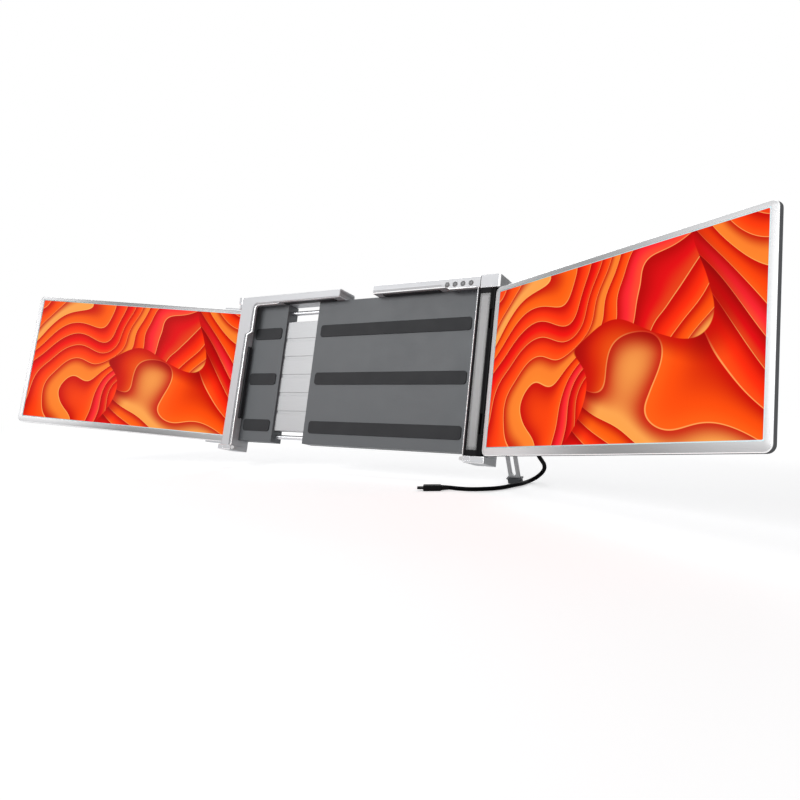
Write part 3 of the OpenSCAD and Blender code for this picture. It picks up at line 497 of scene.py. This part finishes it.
# Silver and steel
blasted_silver = grained(
    "blasted_silver", (0.72, 0.735, 0.76), (0.86, 0.87, 0.89), 0.42, metallic=0.12,
    grain_scale=3200, grain_depth=0.000012, tone_spread=0.05)
# Darker grey: the own colour of the arm plugs, and painted shade on the left bracket's
# drawn-back lip and the right top cap's end face
plug_grey_and_painted_shade = grained(
    "plug_grey_and_painted_shade", (0.47, 0.475, 0.49), (0.7, 0.7, 0.7), 0.45, grain_scale=3200,
    grain_depth=0.000012, tone_spread=0.05)
arm_strip_painted_shade = silver_painted_lip_shade()
seam_grey = grained(
    "seam_grey", (0.3, 0.305, 0.31), (0.5, 0.5, 0.5), 0.5, grain_depth=0.00001)
# Near-white metal for rounded and cut edges: a painted highlight along the edges of brackets,
# caps and bezels
edge_painted_highlight = grained(
    "edge_painted_highlight", (0.95, 0.955, 0.96), (1.0, 1.0, 1.0), 0.15, metallic=1.0,
    grain_depth=0.000002, tone_spread=0.02, roughness_spread=0.05)
# Screen frames whose tones are painted reflection and shade
left_frame_painted_sheen = frame_painted_sheen(
    "left_frame_painted_sheen", (0.95, 0.33, 0.6), (0.55, 0.16, 0.62), 0.5)
right_frame_painted_sheen = frame_painted_sheen(
    "right_frame_painted_sheen", (1.0, 0.42, 0.86), (0.72, 0.44, 0.86), 0.46)
leg_grey = brushed("leg_grey", (0.6, 0.605, 0.615), 0.4, (3000, 3000, 200), metallic=0.3)
tongue_silver = brushed(
    "tongue_silver", (0.45, 0.455, 0.465), 0.42, (60, 4000, 4000), metallic=0.4)
plain_metal = grained(
    "plain_metal", (0.62, 0.63, 0.65), (0.8, 0.8, 0.8), 0.4, metallic=0.9)
turned_steel = brushed("turned_steel", (0.62, 0.63, 0.65), 0.28, (3000, 3000, 200))
bronze = brushed("bronze", (0.55, 0.36, 0.14), 0.35, (200, 3000, 3000))

# Paint, plastic and rubber
moulded_grey = grained(
    "moulded_grey", (0.125, 0.135, 0.145), (0.25, 0.26, 0.27), 0.5, grain_scale=2200,
    grain_depth=0.00006)
slate_paint = grained(
    "slate_paint", (0.42, 0.43, 0.45), (0.5, 0.51, 0.53), 0.5, grain_scale=3600,
    grain_depth=0.00002, specular=0.0)
solder_green = grained(
    "solder_green", (0.02, 0.13, 0.05), (0.4, 0.36, 0.12), 0.32, grain_scale=900, coat=0.3)
fine_black = grained(
    "fine_black", (0.005, 0.005, 0.006), (0.02, 0.02, 0.02), 0.45, grain_scale=2600,
    specular=0.08)
gloss_black = grained(
    "gloss_black", (0.006, 0.006, 0.007), (0.03, 0.03, 0.03), 0.35, grain_scale=600,
    grain_depth=0.000004, specular=0.06)
satin_white = grained(
    "satin_white", (0.95, 0.95, 0.95), (1.0, 1.0, 1.0), 0.35, grain_scale=900,
    grain_depth=0.00001, tone_spread=0.03)
grey_rubber = grained(
    "grey_rubber", (0.022, 0.023, 0.026), (0.09, 0.09, 0.09), 0.62, grain_scale=1800,
    grain_depth=0.00008, specular=0.3)
foot_grey = grained(
    "foot_grey", (0.12, 0.125, 0.135), (0.2, 0.2, 0.2), 0.5, grain_scale=1800,
    grain_depth=0.00006, specular=0.3)
cable_jacket = grained(
    "cable_jacket", (0.003, 0.003, 0.0035), (0.008, 0.008, 0.008), 0.45,
    grain_scale=2400, grain_depth=0.00002, specular=0.02)

# Keys, the hinge column's cover and the picture
key_grey = grained(
    "key_grey", (0.24, 0.245, 0.255), (0.6, 0.6, 0.6), 0.4, metallic=0.1,
    grain_depth=0.00001, edge_wear=0.6)
seat_grey = grained(
    "seat_grey", (0.2, 0.205, 0.21), (0.4, 0.4, 0.4), 0.5, grain_depth=0.00001)
bright_rim = grained(
    "bright_rim", (0.78, 0.79, 0.81), (0.9, 0.9, 0.9), 0.5, grain_depth=0.000005)
column_cover_painted_sheen = column_painted_sheen()
picture = picture_material()


# --- making pieces ----------------------------------------------------------------------
WELD = 1e-6
FINE_WELD = 1e-7
SMOOTH_ANGLE = 40.0
EDGE_ANGLE = 28.0
CORNER_ANGLE = 50

# Places in the lid's frame that tell the brackets' and caps' own edges and faces apart
NEAR = 0.00005
OUTSIDE = 0.004
FRONT = -0.012
CAP_END = 0.203
EDGE_DEPTH = 0.0022
LIP_RECESS = 0.0008
ARM_STRIP_UP = 0.2192
LIP_TOP_UP = 0.2156
SEAM_PLACE = 0.1788
SEAM_REACH = 0.0008
POST_EDGE = -0.1945
ARM_EDGE_UP = 0.224

# Directions: a face that looks straight along an axis, and one that is turned from it
STRAIGHT = 0.99
TURNED = 0.15
NEARLY_FRONT = 0.97


def new_piece(name, shape, materials, body):
    """Turns a finished bmesh into a piece that rides on a body."""
    mesh = bpy.data.meshes.new(name)
    shape.to_mesh(mesh)
    shape.free()
    for slot_material in materials:
        mesh.materials.append(slot_material)
    mesh.shade_smooth()
    mesh.set_sharp_from_angle(angle=radians(SMOOTH_ANGLE))
    piece = bpy.data.objects.new(name, mesh)
    bpy.context.scene.collection.objects.link(piece)
    even = piece.modifiers.new("even shading", "WEIGHTED_NORMAL")
    even.keep_sharp = True
    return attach(piece, body)


def round_edges(shape, width, angle=EDGE_ANGLE, segments=3, chosen=None):
    """Rounds the edges of a shape that are sharper than an angle, or the chosen ones."""
    edges = [e for e in shape.edges if e.is_manifold and e.calc_face_angle() > radians(angle)
             and (chosen is None or chosen(e))]
    made = bmesh.ops.bevel(shape, geom=edges, offset=width, offset_type="OFFSET",
                           segments=segments, profile=0.5, affect="EDGES",
                           clamp_overlap=False, material=-1)
    return made["faces"]


def spun(corners, axis, steps, weld):
    """A closed round shape: an outline in a plane through an axis, spun round it."""
    shape = bmesh.new()
    outline = [shape.verts.new(at) for at in corners]
    edges = [shape.edges.new(pair) for pair in zip(outline, outline[1:])]
    bmesh.ops.spin(shape, geom=outline + edges, cent=(0, 0, 0), axis=axis, angle=2 * pi,
                   steps=steps, use_merge=True)
    bmesh.ops.remove_doubles(shape, verts=shape.verts, dist=weld)
    bmesh.ops.recalc_face_normals(shape, faces=shape.faces)
    return shape


def box_in(place, points):
    """Lowest and highest corner of some points, in a turned frame."""
    inside = [place.inverted() @ p for p in points]
    return [Vector(pick(p[i] for p in inside) for i in range(3)) for pick in (min, max)]


def cad_box(name, place):
    """Lowest and highest corner of a CAD piece, in a turned frame."""
    return box_in(place, [v.co for v in frame["nodes"][name].data.vertices])


def lay_map(shape, place):
    """Lays a UV map over a shape from its left to its right and its bottom to its top."""
    low, high = box_in(place, [v.co for v in shape.verts])
    size = high - low
    sheet = shape.loops.layers.uv.new("laid")
    for face in shape.faces:
        for corner in face.loops:
            at = place.inverted() @ corner.vert.co - low
            corner[sheet].uv = (at.x / size.x, at.z / size.z)


def softened(name, width, material, mapped=None, bands=(), cut_up=None, finishes=()):
    """A copy of a CAD piece with its hard edges rounded, which is shown in its place.

    Each band rounds its own edges first, or cuts them flat in a finish of their own: a
    test of an edge, a width, and None or the cut's material. cut_up splits the faces at
    a height on the lid. Each finish is for the faces that pass its test: a test of a
    place and a direction, and a material. A UV map is laid as the place mapped stands."""
    source = frame["nodes"][name]
    shape = bmesh.new()
    shape.from_mesh(source.data)
    bmesh.ops.remove_doubles(shape, verts=shape.verts, dist=WELD)
    if cut_up:
        bmesh.ops.bisect_plane(
            shape, geom=shape.verts[:] + shape.edges[:] + shape.faces[:], dist=FINE_WELD,
            plane_co=lid @ Vector((0, 0, cut_up)),
            plane_no=lid.to_3x3() @ Vector((0, 0, 1)))
    materials = [material]
    for chosen, band_width, cut_finish in bands:
        made = round_edges(shape, band_width, CORNER_ANGLE, 1 if cut_finish else 3, chosen)
        for face in made:
            face.material_index = len(materials) if cut_finish else 0
        if cut_finish:
            materials.append(cut_finish)
    round_edges(shape, width, CORNER_ANGLE if bands else EDGE_ANGLE)
    back, unturned = lid.inverted(), lid.to_3x3().inverted()
    for passes, finish in finishes:
        for face in shape.faces:
            if passes(back @ face.calc_center_median(), unturned @ face.normal):
                face.material_index = len(materials)
        materials.append(finish)
    if mapped:
        lay_map(shape, mapped)
    piece = new_piece(name + "_rounded", shape, materials, source["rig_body"])
    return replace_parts(piece, name)


def dress(material, *names):
    """Gives CAD pieces that keep their own mesh a finished material."""
    for name in names:
        slots = frame["nodes"][name].data.materials
        slots.clear()
        slots.append(material)


# --- tests of edges ---------------------------------------------------------------------
def on_lid(vert):
    return lid.inverted() @ vert.co


def outline_edges(name, place):
    """The front edges round the outside of a screen frame, which stands at a place."""
    low, high = cad_box(name, place)

    def outside(vert):
        at = place.inverted() @ vert.co
        rim = min(at.x - low.x, high.x - at.x, at.z - low.z, high.z - at.z)
        return at.y - low.y < NEAR and rim < OUTSIDE

    return lambda edge: all(outside(v) for v in edge.verts)


def front_edges(back):
    """The edges that lie in a plane behind the brackets' front."""
    return lambda edge: edge.is_convex and all(
        abs(on_lid(v).y - FRONT - back) < NEAR for v in edge.verts)


def right_lip_edges(edge):
    """The low front edges of the lip on the right arm."""
    return front_edges(0.0)(edge) and all(on_lid(v).z < LIP_TOP_UP for v in edge.verts)


def front_right_corner(edge):
    """The upright edge at the front right corner of the right top cap."""
    return all(on_lid(v).y - FRONT < NEAR and CAP_END - on_lid(v).x < NEAR
               for v in edge.verts)


def whole_edges(name):
    """The edges that run from corner to corner of a CAD piece's box in the lid's frame."""
    low, high = cad_box(name, lid)

    def at_corner(vert):
        at = on_lid(vert)
        return all(min(at[i] - low[i], high[i] - at[i]) < NEAR for i in range(3))

    return lambda edge: all(at_corner(v) for v in edge.verts)


# --- tests of faces, by their place and direction in the lid's frame --------------------
def turned_front(at, facing):
    """The rounded faces between the brackets' front and their sides."""
    return at.y - FRONT < EDGE_DEPTH and TURNED < -facing.y < NEARLY_FRONT


def turned_left_front(at, facing):
    """The same for the left bracket, without the step down to its drawn-back lip."""
    outer = at.x < POST_EDGE or at.z > ARM_EDGE_UP or at.y - FRONT > LIP_RECESS
    return outer and turned_front(at, facing)


def drawn_back_lip(at, facing):
    """The flat front of the left bracket's lip."""
    return facing.y < -STRAIGHT and abs(at.y - FRONT - LIP_RECESS) < NEAR


def low_arm_strip(at, facing):
    """The flat front of the right arm, up to the height at which it is cut."""
    return facing.y < -STRAIGHT and at.y - FRONT < NEAR and at.z < ARM_STRIP_UP


def at_seam(at, facing):
    """The faces in the seam between the right arm and its cap."""
    near_seam = abs(at.x - SEAM_PLACE) < SEAM_REACH
    return near_seam and abs(facing.x) > TURNED and at.y - FRONT < EDGE_DEPTH


def at_right_end(at, facing):
    """The right end face of the right top cap."""
    return facing.x > STRAIGHT and CAP_END - at.x < NEAR


# --- cable ------------------------------------------------------------------------------
CABLE_ROUTE = [
    (0.2374, 0.0275, 0.0542), (0.2433, 0.0299, 0.0503), (0.2469, 0.0342, 0.0442),
    (0.2479, 0.0397, 0.0378), (0.2478, 0.046, 0.0321), (0.2479, 0.0533, 0.0269),
    (0.2475, 0.0611, 0.0209), (0.2445, 0.0663, 0.0143), (0.2377, 0.0664, 0.0072),
    (0.2326, 0.0616, 0.0036), (0.2301, 0.0527, 0.0024), (0.230, 0.0428, 0.0026),
    (0.2289, 0.0317, 0.0029), (0.2255, 0.0205, 0.0028), (0.221, 0.0092, 0.0025),
    (0.2156, -0.002, 0.0027), (0.2074, -0.0121, 0.003), (0.1964, -0.0168, 0.0027),
    (0.1828, -0.0179, 0.0024), FAR_START,
]
cable_exit = near_plug_place @ Vector((PLUG_LONG + RELIEF_LONG, 0, 0))
cable_points = [cable_exit] + [desk @ Vector(p) for p in CABLE_ROUTE]


def cable_curve():
    """A smooth round cable along its route."""
    line = bpy.data.curves.new("cable_line", "CURVE")
    line.dimensions = "3D"
    line.bevel_depth = CABLE_THICK / 2
    line.bevel_resolution = CABLE_SIDES
    line.resolution_u = CABLE_STEPS
    line.use_fill_caps = True
    spline = line.splines.new("BEZIER")
    spline.bezier_points.add(len(cable_points) - 1)
    for knot, place in zip(spline.bezier_points, cable_points):
        knot.co = place
        knot.handle_left_type = knot.handle_right_type = "AUTO"
    line.materials.append(cable_jacket)
    piece = bpy.data.objects.new("cable_jacket", line)
    bpy.context.scene.collection.objects.link(piece)
    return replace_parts(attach(piece, "main_frame"), "cable")


# One rib and the groove after it: a share of its length, and how deep it is there
RIB_PROFILE = [(0, 0), (0.62, 0), (0.7, RIB_DEEP), (0.92, RIB_DEEP)]


def ribbed_relief(name, place, replaced):
    """A short tapered sleeve with soft ribs, spun round the cable."""
    wide, narrow = CABLE_THICK / 2 + RELIEF_START_PROUD, CABLE_THICK / 2 + RELIEF_END_PROUD
    step = RELIEF_LONG / RELIEF_RIBS
    outline = [(0, 0.0)]
    for i in range(RELIEF_RIBS):
        radius = wide + (narrow - wide) * (i + 1) / RELIEF_RIBS
        start = i * step
        outline += [(start + share * step, radius - deep) for share, deep in RIB_PROFILE]
    outline += [(RELIEF_LONG, narrow), (RELIEF_LONG, 0.0)]
    shape = spun([(x, 0, r) for x, r in outline], axis=(1, 0, 0), steps=32, weld=WELD)
    round_edges(shape, RELIEF_EDGE, angle=35, segments=2)
    bmesh.ops.transform(shape, matrix=place, verts=shape.verts)
    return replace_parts(new_piece(name, shape, [fine_black], "main_frame"), replaced)


cable = cable_curve()
near_relief = ribbed_relief(
    "near_relief_sleeve", near_plug_place @ Matrix.Translation((PLUG_LONG, 0, 0)),
    "near_relief")
far_relief = ribbed_relief(
    "far_relief_sleeve",
    far_place @ Matrix.Translation((RELIEF_LONG, 0, 0)) @ Matrix.Rotation(pi, 4, "Z"),
    "far_relief")
near_plug = softened("near_plug", PLUG_EDGE, fine_black)
far_plug = softened("far_plug", PLUG_EDGE, fine_black)


# --- displays ---------------------------------------------------------------------------
def display_pane(name, place, side, body):
    """A thin glass pane in the bezel's window, with its picture laid corner to corner."""
    wide = DISPLAY_WIDE + 2 * (WINDOW_MARGIN - PANE_GAP)
    high = DISPLAY_HIGH + 2 * (WINDOW_MARGIN - PANE_GAP)
    middle = Vector((side * (SIDE_BORDER + DISPLAY_WIDE / 2), PANEL_DEPTH - PANE_GAP,
                     LOW_BORDER + DISPLAY_HIGH / 2))
    shape = bmesh.new()
    bmesh.ops.create_grid(shape, x_segments=1, y_segments=1, size=0.5)
    bmesh.ops.scale(shape, vec=(wide, high, 1), verts=shape.verts)
    bmesh.ops.rotate(shape, matrix=Matrix.Rotation(pi / 2, 3, "X"), verts=shape.verts)
    made = bmesh.ops.extrude_face_region(shape, geom=shape.faces[:])
    moved = [v for v in made["geom"] if isinstance(v, bmesh.types.BMVert)]
    bmesh.ops.translate(shape, vec=(0, -PANE_THICK, 0), verts=moved)
    bmesh.ops.recalc_face_normals(shape, faces=shape.faces)
    round_edges(shape, PANE_EDGE, segments=2)
    sheet = shape.loops.layers.uv.new("picture")
    for face in shape.faces:
        for corner in face.loops:
            at = corner.vert.co
            corner[sheet].uv = (at.x / wide + 0.5, at.z / high + 0.5)
    bmesh.ops.transform(shape, matrix=place @ Matrix.Translation(middle), verts=shape.verts)
    return new_piece(name, shape, [picture], body)


display_pane("left_picture", left_screen, -1, "left_screen")
display_pane("right_picture", right_screen, 1, "right_screen")


# --- rounded pieces ---------------------------------------------------------------------
LIP_BEND = 0.0008
CAP_BEND = 0.0006
CORNER_BEND = 0.0015
CAP_EDGE = 0.00008
BRACKET_EDGE = 0.0003
COVER_EDGE = 0.0003
BEZEL_EDGE = 0.0002
BEZEL_CUT = 0.0007

for name, width, material in [
    ("left_rear_shell", 0.0003, slate_paint),
    ("right_rear_shell", 0.0003, slate_paint),
    ("left_hinge_ears", 0.0003, blasted_silver),
    ("kickstand_bracket", 0.0004, slate_paint),
    ("main_housing", 0.0003, moulded_grey),
    ("left_housing", 0.0003, moulded_grey),
    ("rear_cover", 0.00025, moulded_grey),
    ("left_rear_cover", 0.00025, moulded_grey),
    ("hinge_column", 0.0003, gloss_black),
    ("right_hinge_knuckles", 0.0003, fine_black),
    ("kickstand_leg", 0.0005, leg_grey),
    ("kickstand_foot", 0.0004, foot_grey),
    ("left_catch", 0.0003, satin_white),
    ("right_catch", 0.0002, satin_white),
    ("lid_pad", 0.0003, grey_rubber),
    ("left_pads", 0.0003, grey_rubber),
    ("right_top_pad", 0.0003, grey_rubber),
    ("left_arm_plug", 0.0003, plug_grey_and_painted_shade),
    ("right_arm_plug", 0.0003, plug_grey_and_painted_shade),
    ("slide_tongue", 0.0003, tongue_silver),
]:
    softened(name, width, material)
# the caps' rounded front edges carry a painted highlight
for name in ["left_top_cap", "left_bottom_cap", "right_bottom_cap"]:
    softened(name, CAP_EDGE, blasted_silver, bands=[(whole_edges(name), CAP_BEND, None)],
             finishes=[(turned_front, edge_painted_highlight)])
# right top cap: a painted highlight on the rounded front edges and painted shade on its right
# end face
softened("right_top_cap", CAP_EDGE, blasted_silver,
         bands=[(front_right_corner, CORNER_BEND, None),
                (whole_edges("right_top_cap"), CAP_BEND, None)],
         finishes=[(turned_front, edge_painted_highlight), (at_seam, seam_grey),
                   (at_right_end, plug_grey_and_painted_shade)])
# left bracket: painted shade on the drawn-back lip and a painted highlight on the rounded
# front edges
softened("left_bracket", BRACKET_EDGE, blasted_silver,
         bands=[(front_edges(LIP_RECESS), LIP_BEND, None)],
         finishes=[(drawn_back_lip, plug_grey_and_painted_shade), (turned_left_front, edge_painted_highlight)])
# right bracket: painted shade on the low arm strip, and a painted highlight on the rounded
# front edges
softened("right_bracket", BRACKET_EDGE, blasted_silver, mapped=lid, cut_up=ARM_STRIP_UP,
         bands=[(right_lip_edges, LIP_BEND, None)],
         finishes=[(low_arm_strip, arm_strip_painted_shade), (turned_front, edge_painted_highlight),
                   (at_seam, seam_grey)])
# the column cover carries a painted sheen and painted shade
softened("column_cover", COVER_EDGE, column_cover_painted_sheen, mapped=lid)
# the bezels' outer front edges are cut flat and carry a painted highlight
for name, place, material in [("left_bezel", left_screen, left_frame_painted_sheen),
                              ("right_bezel", right_screen, right_frame_painted_sheen)]:
    softened(name, BEZEL_EDGE, material, mapped=lid,
             bands=[(outline_edges(name, place), BEZEL_CUT, edge_painted_highlight)])


# --- buttons ----------------------------------------------------------------------------
KEY_RADIUS = 0.0024
RIM_RADIUS = 0.0027

# Outlines as places along Y, from the front to the back, and radii
KEY_CAP = [
    (0.00025, 0.0), (0.0002, 0.0011), (0.00002, 0.0016), (0.0, 0.0019), (0.0001, 0.0022),
    (0.0004, KEY_RADIUS), (0.0026, KEY_RADIUS), (0.0026, 0.0),
]
KEY_SEAT = [
    (0.00029, RIM_RADIUS - 0.0001), (0.00024, RIM_RADIUS + 0.0001),
    (0.00022, RIM_RADIUS + 0.0003), (0.0004, RIM_RADIUS + 0.0003),
    (0.0004, RIM_RADIUS - 0.0001), (0.00029, RIM_RADIUS - 0.0001),
]
KEY_RIM = [
    (0.0003, RIM_RADIUS + 0.0003), (0.00018, RIM_RADIUS + 0.0004),
    (0.00018, RIM_RADIUS + 0.0006), (0.0003, RIM_RADIUS + 0.0008),
    (0.0004, RIM_RADIUS + 0.0005), (0.0003, RIM_RADIUS + 0.0003),
]


def key_part(name, outline, spot, material, body):
    """One round part of a key, spun and set at the key's place."""
    corners = [(radius, along, 0) for along, radius in outline]
    shape = spun(corners, axis=(0, 1, 0), steps=40, weld=FINE_WELD)
    bmesh.ops.transform(shape, matrix=spot, verts=shape.verts)
    return new_piece(name, shape, [material], body)


for key in ["power", "menu", "minus", "plus"]:
    low, high = cad_box(key + "_button", lid)
    middle = ((low.x + high.x) / 2, low.y, high.z - (high.x - low.x) / 2)
    spot = lid @ Matrix.Translation(middle)
    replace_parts(key_part(key + "_key_cap", KEY_CAP, spot, key_grey, key + "_key"),
                key + "_button")
    key_part(key + "_key_seat", KEY_SEAT, spot, seat_grey, "main_frame")
    key_part(key + "_key_rim", KEY_RIM, spot, bright_rim, "main_frame")


# --- pieces that keep their CAD mesh ----------------------------------------------------
dress(picture, "left_panel", "right_panel")
dress(plain_metal, "left_backlight", "right_backlight", "tongue_glides",
      "kickstand_washers", "usb_c_port")
dress(solder_green, "main_board", "button_board", "left_driver_board", "right_driver_board")
dress(turned_steel, "cover_screws", "kickstand_pin", "column_pins", "guide_rods",
      "left_hinge_pins", "left_cover_screws", "left_screen_screws", "right_screen_screws",
      "right_hinge_pins")
dress(bronze, "guide_bushes")


# --- stage ------------------------------------------------------------------------------
FLOOR_SIZE = 12.0
FADE_START = 0.4
FADE_END = 1.2
FLOOR_SEEN = (0.86, 0.86, 0.87, 1)
FLOOR_UNSEEN = (0.3, 0.3, 0.3, 1)
FLOOR_GLOW = 0.5
WHITE = (1, 1, 1, 1)
SKY_LIGHT = 0.2


def background_rays(tree):
    """1 for rays that see a white background: the camera's, and those in metal and glass."""
    rays = node(tree, "ShaderNodeLightPath").outputs
    either = calc(tree, "MAXIMUM", rays["Is Camera Ray"], rays["Is Glossy Ray"])
    return calc(tree, "MAXIMUM", either, rays["Is Transmission Ray"])


def floor_material():
    """A pale floor that keeps the shadows on it and runs out into the white background."""
    made = bpy.data.materials.new("pale_floor")
    made.use_nodes = True
    tree = made.node_tree
    tree.nodes.clear()
    seen = background_rays(tree)
    tone = blend_colours(tree, seen, FLOOR_UNSEEN, FLOOR_SEEN)
    paint = node(tree, "ShaderNodeBsdfDiffuse", {"Color": tone})
    strength = calc(tree, "MULTIPLY", seen, FLOOR_GLOW)
    glow = node(tree, "ShaderNodeEmission", {"Color": WHITE, "Strength": strength})
    near = node(tree, "ShaderNodeAddShader", {0: paint.outputs[0], 1: glow.outputs[0]})
    white = node(tree, "ShaderNodeEmission", {"Color": WHITE, "Strength": 1.0})
    away = node(tree, "ShaderNodeVectorMath", {0: on_object(tree)}, operation="LENGTH")
    fade = ramp(tree, away.outputs["Value"], FADE_START, FADE_END)
    far = calc(tree, "MULTIPLY", fade, seen)
    look = node(tree, "ShaderNodeMixShader", {0: far, 1: near.outputs[0],
                                              2: white.outputs[0]})
    node(tree, "ShaderNodeOutputMaterial", {"Surface": look.outputs[0]})
    return made


floor_shape = bmesh.new()
bmesh.ops.create_grid(floor_shape, x_segments=8, y_segments=8, size=FLOOR_SIZE / 2)
bmesh.ops.translate(floor_shape, vec=(0, 0, cad_low.z), verts=floor_shape.verts)
floor_mesh = bpy.data.meshes.new("floor")
floor_shape.to_mesh(floor_mesh)
floor_shape.free()
floor_mesh.materials.append(floor_material())
floor = bpy.data.objects.new("floor", floor_mesh)
bpy.context.scene.collection.objects.link(floor)

world = bpy.data.worlds.new("studio")
bpy.context.scene.world = world
world.use_nodes = True
sky = world.node_tree
sky.nodes.clear()
sky_light = calc(sky, "MULTIPLY_ADD", background_rays(sky), 1 - SKY_LIGHT, SKY_LIGHT)
sky_look = node(sky, "ShaderNodeBackground", {"Color": WHITE, "Strength": sky_light})
node(sky, "ShaderNodeOutputWorld", {"Surface": sky_look.outputs[0]})

# Each lamp's name, place, aim, width, height and power in watts
for name, place, aim, wide, high, power in [
    ("key_lamp", (-0.95, -1.8, 1.1), (0, 0, 0), 1.4, 1.0, 23),
    ("fill_lamp", (1.5, -1.3, 0.7), (0.1, 0, 0), 1.0, 1.0, 0.8),
    ("top_lamp", (-0.2, 0.2, 1.8), (0, 0, 0), 1.6, 1.2, 6),
    ("back_lamp", (-0.3, 1.7, 0.9), (0, 0, 0), 1.6, 1.0, 16),
]:
    lamp = bpy.data.lights.new(name, "AREA")
    lamp.shape = "RECTANGLE"
    lamp.size, lamp.size_y = wide, high
    lamp.energy = power
    made = bpy.data.objects.new(name, lamp)
    made.matrix_world = facing_towards(Vector(place), Vector(aim))
    bpy.context.scene.collection.objects.link(made)
